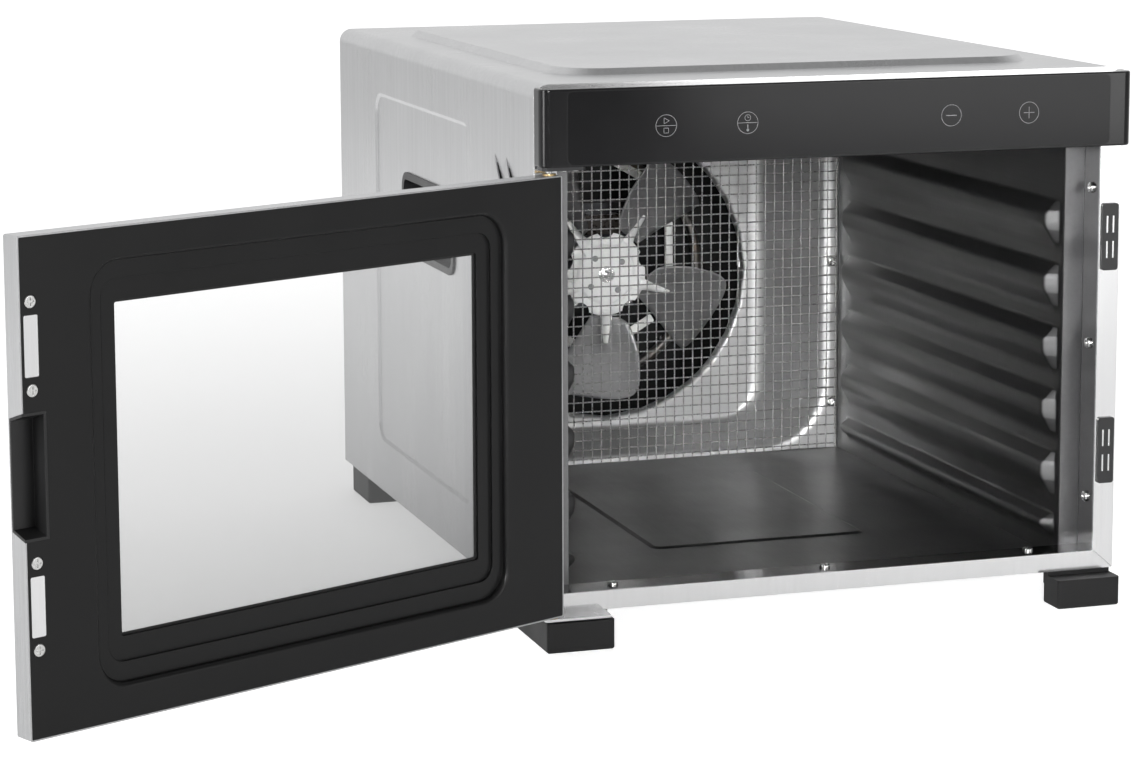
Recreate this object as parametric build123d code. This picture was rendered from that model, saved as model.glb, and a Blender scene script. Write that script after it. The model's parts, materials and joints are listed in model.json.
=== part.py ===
"""Countertop food dehydrator: steel cabinet, six tray levels, rear fan and side-hinged glass door.

Units are millimetres. The model is drawn with x = 0 at the cabinet's centre plane, y = 0 at the
front face frame (positive towards the back) and z = 0 on the surface that the feet stand on.
When a node is written it is moved so that the origin is the centre of the cabinet's footprint.
The door is drawn closed and is then turned to its stored pose, standing open.
"""

from build123d import *
from math import cos, radians, sin
import os

# ---- Driving dimensions -------------------------------------------------------------------
BODY_WIDTH = 345.0
BODY_DEPTH = 434.0
BODY_BOTTOM = 18.7
BODY_TOP = 306.0
SHEET = 1.0  # cabinet sheet metal
LINER_SHEET = 0.8  # cavity sheet metal

FACE_COLUMN = 12.5  # width of the bright strips beside the cavity
SILL_TOP = 29.2
FACE_RETURN_DEPTH = 19.3  # depth of the folded returns behind the bright strips

CAVITY_HALF_WIDTH = 148.0
CAVITY_FLOOR = 21.8
CAVITY_TOP = 262.0
CAVITY_BACK = 352.0

TRAY_LEVELS = 6
TRAY_PITCH = 36.4
LOWEST_RAIL_TOP = 46.0
RAIL_DROPS = (7.0, 14.8, 27.0)  # below a rail's top: shoulder's end, crest's end, rail's foot
LOWEST_RAIL_DROPS = (4.0, 7.5, 13.0)
RAIL_REACH = 7.5
RAIL_FRONT = 25.0
RAIL_BACK = 336.0

BAR_DEPTH = 13.5
BAR_BOTTOM = 262.9
BAR_TOP = 304.4

FAN_Z = 140.0
FAN_TIP_RADIUS = 86.0
FAN_PLANE = 403.0
BLADE_COUNT = 5
BLADE_PITCH = 28.0
BLADE_THICKNESS = 1.2
HUB_RADIUS = 28.0
SHAFT_RADIUS = 2.5
RUNNING_CLEARANCE = 0.05

PAN_MOUTH_HALF = (139.0, 114.0)
PAN_FLOOR_HALF = (107.0, 104.0)
PAN_DEPTH = 43.0
PAN_HOLE_RADIUS = 97.0

MESH_PITCH = 6.35
MESH_WIRE_RADIUS = 0.45
MESH_LAYER_GAP = 0.02  # keeps the two welded wire layers from overlapping

DOOR_LEFT = -170.6
DOOR_RIGHT = 167.9
DOOR_BOTTOM = 19.6
DOOR_TOP = 258.7
DOOR_THICKNESS = 11.5
DOOR_GAP = 2.0  # closed door to face frame
DOOR_SKIN = 0.8
DOOR_OPEN_ANGLE = 155.0
PIVOT_INSET = 4.0
PIN_RADIUS = 1.5
BUSH_RADIUS = 2.6

FOOT_WIDTH = 38.4
FOOT_BAR = 19.7
FOOT_LENGTH = 58.5
FOOT_INSET = 2.0

# ---- Worked-out positions -------------------------------------------------------------------
HALF = BODY_WIDTH / 2
FACE_INNER = HALF - FACE_COLUMN
DOOR_INNER_Y = -DOOR_GAP
DOOR_OUTER_Y = -DOOR_GAP - DOOR_THICKNESS
PIVOT_X = DOOR_LEFT + PIVOT_INSET
PIVOT_Y = (DOOR_INNER_Y + DOOR_OUTER_Y) / 2
PAN_FLANGE_Y = CAVITY_BACK + 4 * MESH_WIRE_RADIUS + MESH_LAYER_GAP
PAN_FLOOR_Y = PAN_FLANGE_Y + PAN_DEPTH
REAR_PANEL_Y = BODY_DEPTH - SHEET
RAIL_TOPS = [LOWEST_RAIL_TOP + TRAY_PITCH * level for level in range(TRAY_LEVELS)]
SIDES = (-1, 1)


# ---- Shape helpers --------------------------------------------------------------------------
def block(x0, x1, y0, y1, z0, z1):
    """A box given by its limits."""
    size = Box(abs(x1 - x0), abs(y1 - y0), abs(z1 - z0))
    return Pos((x0 + x1) / 2, (y0 + y1) / 2, (z0 + z1) / 2) * size


def facing_front(x, y, z):
    """A sketch plane whose x and y run along +X and +Z, with its normal towards the front."""
    return Plane(origin=(x, y, z), x_dir=(1, 0, 0), z_dir=(0, -1, 0))


def facing_side(x, y, z, side):
    """A sketch plane on a side wall, with its normal pointing outwards on that side."""
    return Plane(origin=(x, y, z), x_dir=(0, side, 0), z_dir=(side, 0, 0))


def front_slab(x0, x1, y0, y1, z0, z1, radius):
    """A rounded rectangle seen from the front, between y0 and y1."""
    outline = RectangleRounded(x1 - x0, z1 - z0, radius)
    return extrude(facing_front((x0 + x1) / 2, y1, (z0 + z1) / 2) * outline, amount=y1 - y0)


def rod_y(x, z, radius, y0, y1):
    """A cylinder along Y."""
    return Pos(x, (y0 + y1) / 2, z) * Rot(90, 0, 0) * Cylinder(radius, y1 - y0)


def rod_x(y, z, radius, x0, x1):
    """A cylinder along X."""
    return Pos((x0 + x1) / 2, y, z) * Rot(0, 90, 0) * Cylinder(radius, abs(x1 - x0))


def rod_z(x, y, radius, z0, z1):
    """A cylinder along Z."""
    return Pos(x, y, (z0 + z1) / 2) * Cylinder(radius, z1 - z0)


def frustum(plane, width, height, radius, depth, slope):
    """A pressed pad: a rounded rectangle that narrows by slope on each side over its depth."""
    low = RectangleRounded(width, height, radius)
    high = RectangleRounded(width - 2 * slope, height - 2 * slope, radius - slope)
    return loft([plane * low, plane.offset(depth) * high])


def pressed(sheet, outer_plane, thickness, width, height, radius, depth, slope):
    """Press a pad out of a sheet towards the normal of outer_plane, keeping the thickness."""
    raised = frustum(outer_plane, width, height, radius, depth, slope)
    hollow = frustum(outer_plane.offset(-thickness), width, height, radius, depth, slope)
    return sheet + raised - hollow


def mirror_x(shape):
    return mirror(shape, about=Plane.YZ)


# ---- Screws ---------------------------------------------------------------------------------
def screw(head_radius, head_height, shank_radius, shank_length):
    """A pan-head screw with a cross recess, head up along +Z, seated at z = 0."""
    head = Pos(0, 0, head_height / 2) * Cylinder(head_radius, head_height)
    head = fillet(head.edges().group_by(Axis.Z)[-1], head_height * 0.6)
    blade = Box(head_radius * 1.25, head_radius * 0.26, head_height)
    cross = blade + Rot(0, 0, 90) * blade
    head -= Pos(0, 0, head_height) * cross
    return head + Pos(0, 0, -shank_length / 2) * Cylinder(shank_radius, shank_length)


LINER_SCREW = screw(3.0, 1.8, 1.45, 4.0)
LINER_HOLE = 1.55
SMALL_SCREW = screw(2.4, 1.3, 1.0, 3.2)
SMALL_HOLE = 1.1
FOOT_SCREW = screw(4.0, 2.0, 1.9, 13.6)
FOOT_HOLE = 2.0
TURN_TO = {"+x": Rot(0, 90, 0), "-x": Rot(0, -90, 0), "+y": Rot(-90, 0, 0), "-y": Rot(90, 0, 0)}

SIDE_SCREW_HEIGHTS = (59.0, 148.0, 237.0)
SIDE_SCREW_Y = 10.0
SILL_SCREW_X = (-125.0, 0.0, 125.0)
SILL_SCREW_Y = 12.0
REAR_SCREWS = [(x, z) for x in (-165.0, 0.0, 165.0) for z in (60.0, 299.0) if (x, z) != (0.0, 60.0)]
FOOT_CENTRES = [(sx, y) for sx in SIDES for y in (10.0, 404.0)]


def pan_screw_points():
    """Mesh guard screws, each in the middle of a mesh cell near the cavity's corners."""
    column = 22.5 * MESH_PITCH
    return [(side * column, z) for side in SIDES for z in (mesh_row(4.5), mesh_row(19.5), mesh_row(34.5))]


def mesh_row(index):
    return CAVITY_FLOOR + 3.0 + index * MESH_PITCH


def side_screws():
    """Cross-head screws that fix the face frame's side returns to the liner."""
    found = []
    for side in SIDES:
        turn = TURN_TO["-x"] if side > 0 else TURN_TO["+x"]
        for z in SIDE_SCREW_HEIGHTS:
            found.append(Pos(side * FACE_INNER, SIDE_SCREW_Y, z) * turn * LINER_SCREW)
    for x in SILL_SCREW_X:
        found.append(Pos(x, SILL_SCREW_Y, SILL_TOP) * LINER_SCREW)
    return found


# ---- Cabinet --------------------------------------------------------------------------------
PANEL_RECESS = 1.2
SIDE_PANEL = dict(y0=124.0, y1=341.0, z0=51.0, z1=273.0)
HAND_HOLD = dict(y0=162.0, y1=277.0, z0=180.0, z1=230.0)
HAND_HOLD_LIP = 2.5
HAND_HOLD_DEPTH = 18.0
BEND_RADIUS = 8.0
REAR_FLANGE = 9.0
LOUVRE_LENGTH = 38.0
LOUVRE_WIDTH = 6.0
LOUVRE_HEIGHT = 1.6
LOUVRE_STARTS = ((76.0, 260.0), (54.0, 260.0))


def wrap(inset, y0, y1):
    """The cabinet's outline, an inverted U filled in, inset from the outside."""
    half = HALF - inset
    top = BODY_TOP - inset
    bend = BEND_RADIUS - inset
    profile = Polyline((-half, BODY_BOTTOM), (-half, top), (half, top), (half, BODY_BOTTOM), close=True)
    face = make_face(profile)
    corners = face.vertices().group_by(Axis.Y)[-1]
    face = fillet(corners, bend) if bend > 0 else face
    return extrude(facing_front(0, y1, 0) * face, amount=y1 - y0)


def louvre_frame(y, z, side):
    """Plane of one louvre: local x runs down its slanted length, its normal points outwards."""
    run = (0, -cos(radians(45)), -sin(radians(45)))
    middle = (side * HALF, y + run[1] * LOUVRE_LENGTH / 2, z + run[2] * LOUVRE_LENGTH / 2)
    return Plane(origin=middle, x_dir=run, z_dir=(side, 0, 0))


def louvre_segment(plane, drop, width):
    """A flat arch with the louvre's length, standing on the sheet, lowered by drop."""
    half = LOUVRE_LENGTH / 2
    arch = ThreePointArc((-half, -drop), (0, LOUVRE_HEIGHT - drop), (half, -drop))
    base = Polyline((half, -drop), (half, -drop - 1.0), (-half, -drop - 1.0), (-half, -drop))
    section = make_face(arch + base)
    across = Plane(origin=plane.origin, x_dir=plane.x_dir, z_dir=plane.y_dir)
    upright = section if (across.y_dir - plane.z_dir).length < 0.1 else mirror(section, about=Plane.XZ)
    return extrude(across * upright, amount=width / 2, both=True)


def outer_shell():
    """Top and both sides in one bent sheet, with a rear flange, pressed panels and louvres."""
    shell = wrap(0, SHEET, REAR_PANEL_Y) - wrap(SHEET, 0, REAR_PANEL_Y - SHEET)
    shell -= wrap(REAR_FLANGE, 0, BODY_DEPTH)
    top = Plane(origin=(0, 214, BODY_TOP), x_dir=(1, 0, 0), z_dir=(0, 0, 1))
    shell = pressed(shell, top, SHEET, 288.0, 342.0, 30.0, 3.5, 4.0)
    mid_y = (SIDE_PANEL["y0"] + SIDE_PANEL["y1"]) / 2
    mid_z = (SIDE_PANEL["z0"] + SIDE_PANEL["z1"]) / 2
    for side in SIDES:
        inner = facing_side(side * (HALF - SHEET), mid_y, mid_z, -side)
        length = SIDE_PANEL["y1"] - SIDE_PANEL["y0"]
        height = SIDE_PANEL["z1"] - SIDE_PANEL["z0"]
        shell = pressed(shell, inner, SHEET, length, height, 13.0, PANEL_RECESS, 2.2)
        shell -= hand_hold_slab(side, HAND_HOLD_LIP, 30.0, 0.0)
        for y, z in LOUVRE_STARTS:
            plane = louvre_frame(y, z, side)
            shell += louvre_segment(plane, 0.0, LOUVRE_WIDTH)
            shell -= Pos(0, -SHEET, 0) * louvre_segment(plane, SHEET * 0.9, LOUVRE_WIDTH)
    for x, z in REAR_SCREWS:
        shell -= rod_y(x, z, LINER_HOLE, REAR_PANEL_Y - 3, BODY_DEPTH)
    return shell


def front_frame():
    """The bright face frame round the cavity, with folded returns and mitred lower corners."""
    outline = block(-HALF, HALF, 0, SHEET, BODY_BOTTOM, BODY_TOP)
    corners = outline.edges().filter_by(Axis.Y).group_by(Axis.Z)[-1]
    frame = fillet(corners, BEND_RADIUS)
    frame -= block(-FACE_INNER, FACE_INNER, -1, 2, SILL_TOP, CAVITY_TOP)
    outer = FACE_INNER + SHEET
    rim = block(-outer, outer, SHEET, FACE_RETURN_DEPTH, SILL_TOP - SHEET, CAVITY_TOP)
    frame += rim - block(-FACE_INNER, FACE_INNER, 0, 30, SILL_TOP, CAVITY_TOP + 1)
    for side in SIDES:
        groove = Pos(side * (HALF - 6.0), 0, BODY_BOTTOM + 5.2) * Rot(0, side * 41, 0) * Box(22, 0.5, 0.35)
        frame -= groove
        for z in SIDE_SCREW_HEIGHTS:
            frame -= rod_x(SIDE_SCREW_Y, z, LINER_HOLE, side * (FACE_INNER - 1), side * (outer + 1))
    for x in SILL_SCREW_X:
        frame -= rod_z(x, SILL_SCREW_Y, LINER_HOLE, SILL_TOP - 3, SILL_TOP + 1)
    for z0, z1 in CATCH_SPANS:
        frame -= block(CATCH_X0 + 1.2, CATCH_X1 - 1.2, -1, 2, z0 + 2, z1 - 2)
    frame -= block(-60, 60, -1, 2, 270, 296)
    return frame


def base_panel():
    """Folded bottom pan that the feet are screwed to."""
    half = HALF - SHEET
    panel = block(-half, half, SHEET, REAR_PANEL_Y - SHEET, BODY_BOTTOM, BODY_BOTTOM + SHEET)
    side_end = BODY_DEPTH - 4.0
    side_top = BODY_BOTTOM + 9.0
    for side in SIDES:
        panel += block(side * half, side * (half - SHEET), SHEET, side_end, BODY_BOTTOM, side_top)
    for side, y in FOOT_CENTRES:
        panel -= rod_z(side * foot_screw_x(), y, FOOT_HOLE, BODY_BOTTOM - 1, BODY_BOTTOM + 3)
    for x, y in LOWER_HINGE_SCREWS:
        panel -= rod_z(x, y, SMALL_HOLE, BODY_BOTTOM - 1, BODY_BOTTOM + 3)
    return panel


VENT_PITCH = 11.0
VENT_WIDTH = 4.0
TOP_VENT_Z = 282.0
TOP_VENT_HEIGHT = 20.0
SIDE_VENT_X = 108.0
SIDE_VENT_HEIGHT = 30.0
SIDE_VENT_ROWS = (150.0, 190.0, 230.0)
INLET_X = 118.0
INLET_Z = 66.0
INLET_FLANGE = 2.2


def rear_panel():
    """Flat back cover with air slots beside the fan, slots for the electronics and the inlet hole."""
    half = HALF - 0.5
    panel = front_slab(-half, half, REAR_PANEL_Y, BODY_DEPTH, BODY_BOTTOM + 0.5, BODY_TOP - 0.5, 7.5)
    vents = [(index * VENT_PITCH, TOP_VENT_Z, TOP_VENT_HEIGHT) for index in range(-6, 7)]
    for z in SIDE_VENT_ROWS:
        for index in range(5):
            x = SIDE_VENT_X + index * VENT_PITCH
            vents += [(-x, z, SIDE_VENT_HEIGHT), (x, z, SIDE_VENT_HEIGHT)]
    for x, z, height in vents:
        outline = facing_front(x, BODY_DEPTH + 1, z) * RectangleRounded(VENT_WIDTH, height, 1.9)
        panel -= extrude(outline, amount=3)
    panel -= front_slab(INLET_X - 13.5, INLET_X + 13.5, 430, 440, INLET_Z - 10, INLET_Z + 10, 3)
    for x, z in REAR_SCREWS + [(INLET_X - 20, INLET_Z), (INLET_X + 20, INLET_Z)]:
        panel -= rod_y(x, z, LINER_HOLE, REAR_PANEL_Y - 1, BODY_DEPTH + 1)
    for x, z in MOTOR_POSTS:
        panel -= rod_y(x, z, SMALL_HOLE, REAR_PANEL_Y - 1, BODY_DEPTH + 1)
    return panel


def rear_screws():
    """Cover screws and the two inlet screws, driven from behind."""
    found = [Pos(x, BODY_DEPTH, z) * TURN_TO["+y"] * LINER_SCREW for x, z in REAR_SCREWS]
    for x in (INLET_X - 20, INLET_X + 20):
        found.append(Pos(x, BODY_DEPTH + INLET_FLANGE, INLET_Z) * TURN_TO["+y"] * LINER_SCREW)
    return found


def small_screws():
    """The smaller screws: motor and heater standoffs, power board and hinge plates."""
    found = [Pos(x, BODY_DEPTH, z) * TURN_TO["+y"] * SMALL_SCREW for x, z in MOTOR_POSTS]
    found += [Pos(x, y, BOARD_Z + BOARD_THICKNESS) * SMALL_SCREW for x, y in BOARD_POSTS]
    found += [Pos(x, y, UPPER_PLATE_BOTTOM) * Rot(180, 0, 0) * SMALL_SCREW for x, y in UPPER_HINGE_SCREWS]
    found += [Pos(x, y, LOWER_PLATE_BOTTOM) * Rot(180, 0, 0) * SMALL_SCREW for x, y in LOWER_HINGE_SCREWS]
    return found


def hand_hold_slab(side, margin, reach, start):
    """A rounded slab behind the hand-hold's outline, inset by margin, from start inwards."""
    length = HAND_HOLD["y1"] - HAND_HOLD["y0"] - 2 * margin
    height = HAND_HOLD["z1"] - HAND_HOLD["z0"] - 2 * margin
    mid_y = (HAND_HOLD["y0"] + HAND_HOLD["y1"]) / 2
    mid_z = (HAND_HOLD["z0"] + HAND_HOLD["z1"]) / 2
    plane = facing_side(side * (HALF - start), mid_y, mid_z, -side)
    return extrude(plane * RectangleRounded(length, height, 10.0 - margin), amount=reach)


def hand_hold(side):
    """Moulded cup in the side wall: a thin rim outside the sheet and a pocket for the fingers."""
    rim = hand_hold_slab(side, 0.0, PANEL_RECESS, 0.0)
    cup = hand_hold_slab(side, HAND_HOLD_LIP, HAND_HOLD_DEPTH, PANEL_RECESS)
    hollow = hand_hold_slab(side, HAND_HOLD_LIP + 1.8, HAND_HOLD_DEPTH, -1.0)
    return rim + cup - hollow


def foot_screw_x():
    return HALF - FOOT_INSET - FOOT_BAR / 2


def foot(side, front):
    """An L-shaped rubber corner foot. The front pair reaches forward under the door."""
    outer = HALF - FOOT_INSET
    near = -BAR_DEPTH if front else 421.0
    far = near + (FOOT_LENGTH if front else -43.0)
    step = FOOT_BAR if front else -FOOT_BAR
    body = block(outer - FOOT_WIDTH, outer, near, near + step, 0, BODY_BOTTOM)
    body += block(outer - FOOT_BAR, outer, near, far, 0, BODY_BOTTOM)
    body = fillet(body.edges().filter_by(Axis.Z), 1.6)
    body = chamfer(body.faces().sort_by(Axis.Z)[0].edges(), 0.8)
    if front:
        body -= block(outer - 50, outer + 5, -20, 0, 16.5, 20)
    y = 10.0 if front else 404.0
    body -= rod_z(foot_screw_x(), y, FOOT_HOLE, -1, 20) + rod_z(foot_screw_x(), y, 4.4, -1, 6.0)
    body = body if side > 0 else mirror_x(body)
    if front and side < 0:
        body -= lower_hinge_plate_blank()
    return body


def foot_screws():
    points = [(side * foot_screw_x(), y) for side, y in FOOT_CENTRES]
    return [Pos(x, y, 6.0) * Rot(180, 0, 0) * FOOT_SCREW for x, y in points]


# ---- Drying cavity --------------------------------------------------------------------------
COLLAR_OUTER = 159.9


def cavity_collar():
    """Front-facing flange that joins the face frame's returns to the cavity walls."""
    y0 = FACE_RETURN_DEPTH
    y1 = y0 + LINER_SHEET
    collar = block(-COLLAR_OUTER, COLLAR_OUTER, y0, y1, CAVITY_FLOOR - LINER_SHEET, CAVITY_TOP)
    hole = block(-CAVITY_HALF_WIDTH, CAVITY_HALF_WIDTH, 0, 30, CAVITY_FLOOR, CAVITY_TOP + 1)
    return collar - hole


def rail(top, drops, inset):
    """One pressed tray rail on the right wall; inset shrinks it to give the sheet its thickness."""
    wall = CAVITY_HALF_WIDTH + inset
    crest = CAVITY_HALF_WIDTH - RAIL_REACH + inset
    shoulder, nose, foot_drop = drops
    section = Polyline(
        (wall + 0.01, top - inset * 0.5),
        (crest, top - shoulder - inset * 0.5),
        (crest, top - nose + inset * 0.5),
        (wall + 0.01, top - foot_drop + inset * 0.5),
        close=True,
    )
    front = RAIL_FRONT + inset
    back = RAIL_BACK - inset
    ridge = extrude(facing_front(0, back, 0) * make_face(section), amount=back - front)
    for y, turn in ((front, 35), (back, -35)):
        cutter = Pos(crest, y, top - foot_drop / 2) * Rot(0, 0, turn) * Pos(-12, 0, 0)
        keep_off = -1 if y == front else 1
        ridge -= cutter * Pos(0, keep_off * 15, 0) * Box(40, 30, 60)
    return ridge


def right_rail_wall():
    """Right cavity wall with six hollow pressed rails that the trays slide on."""
    inner = CAVITY_HALF_WIDTH
    y0 = FACE_RETURN_DEPTH + LINER_SHEET
    wall = block(inner, inner + LINER_SHEET, y0, CAVITY_BACK, CAVITY_FLOOR - LINER_SHEET, CAVITY_TOP)
    for level, top in enumerate(RAIL_TOPS):
        drops = RAIL_DROPS if level else LOWEST_RAIL_DROPS
        wall += rail(top, drops, 0.0)
        wall -= rail(top, drops, LINER_SHEET)
    return wall


def cavity_floor():
    """Cavity floor sheet with a shallow raised centre pad."""
    half = CAVITY_HALF_WIDTH
    y0 = FACE_RETURN_DEPTH + LINER_SHEET
    z0 = CAVITY_FLOOR - LINER_SHEET
    sheet = block(-half, half, y0, CAVITY_BACK, z0, CAVITY_FLOOR)
    top = Plane(origin=(0, 204.5, CAVITY_FLOOR), x_dir=(1, 0, 0), z_dir=(0, 0, 1))
    return pressed(sheet, top, LINER_SHEET, 134.0, 187.0, 6.0, 0.9, 2.5)


def cavity_ceiling():
    half = CAVITY_HALF_WIDTH + LINER_SHEET
    y0 = FACE_RETURN_DEPTH + LINER_SHEET
    sheet = block(-half, half, y0, CAVITY_BACK, CAVITY_TOP, CAVITY_TOP + LINER_SHEET)
    for x, y in BOARD_POSTS:
        sheet -= rod_z(x, y, SMALL_HOLE, CAVITY_TOP - 1, CAVITY_TOP + 3)
    return sheet


def mesh_guard():
    """Welded wire guard in front of the fan: a layer of upright wires and a layer of level ones."""
    wires = []
    half = CAVITY_HALF_WIDTH - 0.5
    bottom = CAVITY_FLOOR + 0.5
    top = CAVITY_TOP - 0.5
    front_layer = CAVITY_BACK + MESH_WIRE_RADIUS
    rear_layer = front_layer + 2 * MESH_WIRE_RADIUS + MESH_LAYER_GAP
    for column in range(-23, 24):
        wires.append(rod_z(column * MESH_PITCH, front_layer, MESH_WIRE_RADIUS, bottom, top))
    for row in range(38):
        z = mesh_row(row)
        wires.append(rod_x(rear_layer, z, MESH_WIRE_RADIUS, -half, half))
    return wires


def mesh_screws():
    seat = CAVITY_BACK - 0.02
    return [Pos(x, seat, z) * TURN_TO["-y"] * LINER_SCREW for x, z in pan_screw_points()]


def fan_pan():
    """Deep-drawn back pan: flange, sloping walls and a floor with the round fan opening."""
    y0 = PAN_FLANGE_Y
    t = LINER_SHEET
    half = CAVITY_HALF_WIDTH
    flange = block(-half, half, y0, y0 + t, CAVITY_FLOOR, CAVITY_TOP)

    def funnel(grow, near, far):
        mouth = RectangleRounded(2 * (PAN_MOUTH_HALF[0] + grow), 2 * (PAN_MOUTH_HALF[1] + grow), 40 + grow)
        floor = RectangleRounded(2 * (PAN_FLOOR_HALF[0] + grow), 2 * (PAN_FLOOR_HALF[1] + grow), 28 + grow)
        return loft([facing_front(0, near, FAN_Z) * mouth, facing_front(0, far, FAN_Z) * floor])

    pan = flange + funnel(t, y0, PAN_FLOOR_Y + t)
    pan -= funnel(0, y0, PAN_FLOOR_Y)
    pan -= rod_y(0, FAN_Z, PAN_HOLE_RADIUS, PAN_FLOOR_Y - 2, PAN_FLOOR_Y + 5)
    lip = rod_y(0, FAN_Z, PAN_HOLE_RADIUS + t, PAN_FLOOR_Y, PAN_FLOOR_Y + 7)
    pan += lip - rod_y(0, FAN_Z, PAN_HOLE_RADIUS, PAN_FLOOR_Y - 1, PAN_FLOOR_Y + 8)
    for x, z in pan_screw_points():
        pan -= rod_y(x, z, LINER_HOLE, y0 - 1, y0 + 3)
    return pan


# ---- Fan, motor and heater ------------------------------------------------------------------
CORE_FRONT = 416.5
CORE_BACK = 426.5
CORE_HALF = 24.0
BEARING_PLATE = 4.0
ROTOR_RADIUS = 12.0
BEARING_BORE = SHAFT_RADIUS + RUNNING_CLEARANCE
MOTOR_POSTS = [(x, FAN_Z + z) for x in (-19.0, 19.0) for z in (-19.0, 19.0)]
HUB_FRONT = FAN_PLANE - 2.6
HUB_BACK = FAN_PLANE - 1.0
HUB_PLATE_FRONT = HUB_FRONT - 1.2
HUB_NOTCH_CENTRE = 31.0
SHAFT_FRONT = HUB_PLATE_FRONT - 8.0
SHAFT_BACK = CORE_BACK + 5.0


def fan_blade():
    """One flat blade in its own plane: x is the radius, y the width, z the thickness."""
    points = [
        (29.5, -10.0),
        (37.0, -14.8),
        (50.0, -23.5),
        (64.0, -33.0),
        (74.0, -40.0),
        (78.0, -41.0),
        (80.5, -35.0),
        (84.0, -20.0),
        (85.7, -8.0),
        (FAN_TIP_RADIUS, 2.0),
        (85.3, 12.0),
        (84.0, 19.0),
        (80.0, 22.5),
        (68.0, 24.0),
        (57.0, 23.5),
        (44.0, 20.5),
        (33.0, 15.5),
        (29.5, 9.5),
    ]
    edge = Spline(*points[1:-1])
    root = Polyline(points[-2], points[-1], points[0], points[1])
    return extrude(make_face(edge + root), amount=BLADE_THICKNESS / 2, both=True)


def at_blade(index, shape):
    """Place a blade-frame shape at its arm: pitched about the arm, arms start straight down."""
    turned = Rot(BLADE_PITCH, 0, 0) * shape
    facing = Plane(origin=(0, FAN_PLANE, FAN_Z), x_dir=(1, 0, 0), z_dir=(0, -1, 0))
    return facing.location * Rot(0, 0, -90 + index * 360 / BLADE_COUNT) * turned


def fan_blades():
    return [at_blade(index, fan_blade()) for index in range(BLADE_COUNT)]


def fan_hub():
    """Bright pressed spider that clamps the blades: a disc with an arm along each blade."""
    hub = rod_y(0, FAN_Z, HUB_RADIUS, HUB_FRONT, HUB_BACK)
    hub += rod_y(0, FAN_Z, 20.0, HUB_PLATE_FRONT, HUB_FRONT)
    low = BLADE_THICKNESS / 2
    arm = block(16.0, 46.0, -2.6, 2.6, low, low + 1.4)
    for index in range(BLADE_COUNT):
        hub += at_blade(index, arm)
        notch_angle = radians(-90 + (index + 0.5) * 360 / BLADE_COUNT)
        x = HUB_NOTCH_CENTRE * cos(notch_angle)
        z = FAN_Z + HUB_NOTCH_CENTRE * sin(notch_angle)
        hub -= rod_y(x, z, 6.5, HUB_FRONT - 3, HUB_BACK + 1)
    return hub - rod_y(0, FAN_Z, SHAFT_RADIUS, SHAFT_FRONT, SHAFT_BACK)


def fan_rivets():
    found = []
    for index in range(4):
        angle = radians(36 + 90 * index)
        x = 13.5 * cos(angle)
        z = FAN_Z + 13.5 * sin(angle)
        head = rod_y(x, z, 2.0, HUB_PLATE_FRONT - 1.2, HUB_PLATE_FRONT)
        found.append(chamfer(head.edges().sort_by(Axis.Y)[0], 0.6))
    return found


def fan_nut():
    """Hexagon nut and washer on the shaft's threaded end."""
    front = HUB_PLATE_FRONT
    hexagon = facing_front(0, front - 0.8, FAN_Z) * RegularPolygon(4.6, 6)
    nut = extrude(hexagon, amount=3.4)
    nut += rod_y(0, FAN_Z, 5.6, front - 0.8, front)
    return nut - rod_y(0, FAN_Z, SHAFT_RADIUS, SHAFT_FRONT, SHAFT_BACK)


def motor_shaft():
    shaft = rod_y(0, FAN_Z, SHAFT_RADIUS, SHAFT_FRONT, SHAFT_BACK)
    return chamfer(shaft.edges().filter_by(GeomType.CIRCLE), 0.5)


def motor_rotor():
    rotor = rod_y(0, FAN_Z, ROTOR_RADIUS, CORE_FRONT + 0.5, CORE_BACK - 0.5)
    return rotor - rod_y(0, FAN_Z, SHAFT_RADIUS, CORE_FRONT, CORE_BACK)


def motor_core():
    """Shaded-pole lamination stack with the rotor bore and four screw holes."""
    near = CORE_FRONT - 1
    far = CORE_BACK + 1
    core = block(-CORE_HALF, CORE_HALF, CORE_FRONT, CORE_BACK, FAN_Z - CORE_HALF, FAN_Z + 46)
    core -= rod_y(0, FAN_Z, ROTOR_RADIUS + 0.6, near, far)
    core -= block(-CORE_HALF - 1, -8, near, far, FAN_Z + CORE_HALF, FAN_Z + 39)
    core -= block(8, CORE_HALF + 1, near, far, FAN_Z + CORE_HALF, FAN_Z + 39)
    for x, z in MOTOR_POSTS:
        core -= rod_y(x, z, 2.0, near, far)
    return core


def motor_coil():
    """Copper winding round the core's upper leg."""
    coil = front_slab(-17, 17, CORE_FRONT - 2.5, CORE_BACK + 2.5, FAN_Z + 25, FAN_Z + 38, 3)
    return coil - block(-8, 8, CORE_FRONT, CORE_BACK, FAN_Z + 20, FAN_Z + 45)


def motor_bearings():
    """Front and rear bearing plates with sintered bushes."""
    plates = []
    front_room = (CORE_FRONT - 1.5, CORE_FRONT + 1)
    back_room = (CORE_BACK - 1, CORE_BACK + 1.5)
    for near, room in ((CORE_FRONT - BEARING_PLATE, front_room), (CORE_BACK, back_room)):
        far = near + BEARING_PLATE
        plate = block(-23, 23, near, far, FAN_Z - 23, FAN_Z + 23)
        plate -= block(-23, 23, near - 1, far + 1, FAN_Z + 10, FAN_Z + 14.5)
        plate -= block(-23, 23, near - 1, far + 1, FAN_Z - 14.5, FAN_Z - 10)
        plate += block(-7, 7, near, far, FAN_Z - 16, FAN_Z + 16)
        plate -= rod_y(0, FAN_Z, ROTOR_RADIUS + 0.6, *room)
        plate -= rod_y(0, FAN_Z, BEARING_BORE, near - 1, far + 1)
        for x, z in MOTOR_POSTS:
            plate -= rod_y(x, z, 2.0, near - 1, far + 1)
        plates.append(plate)
    return plates


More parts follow.
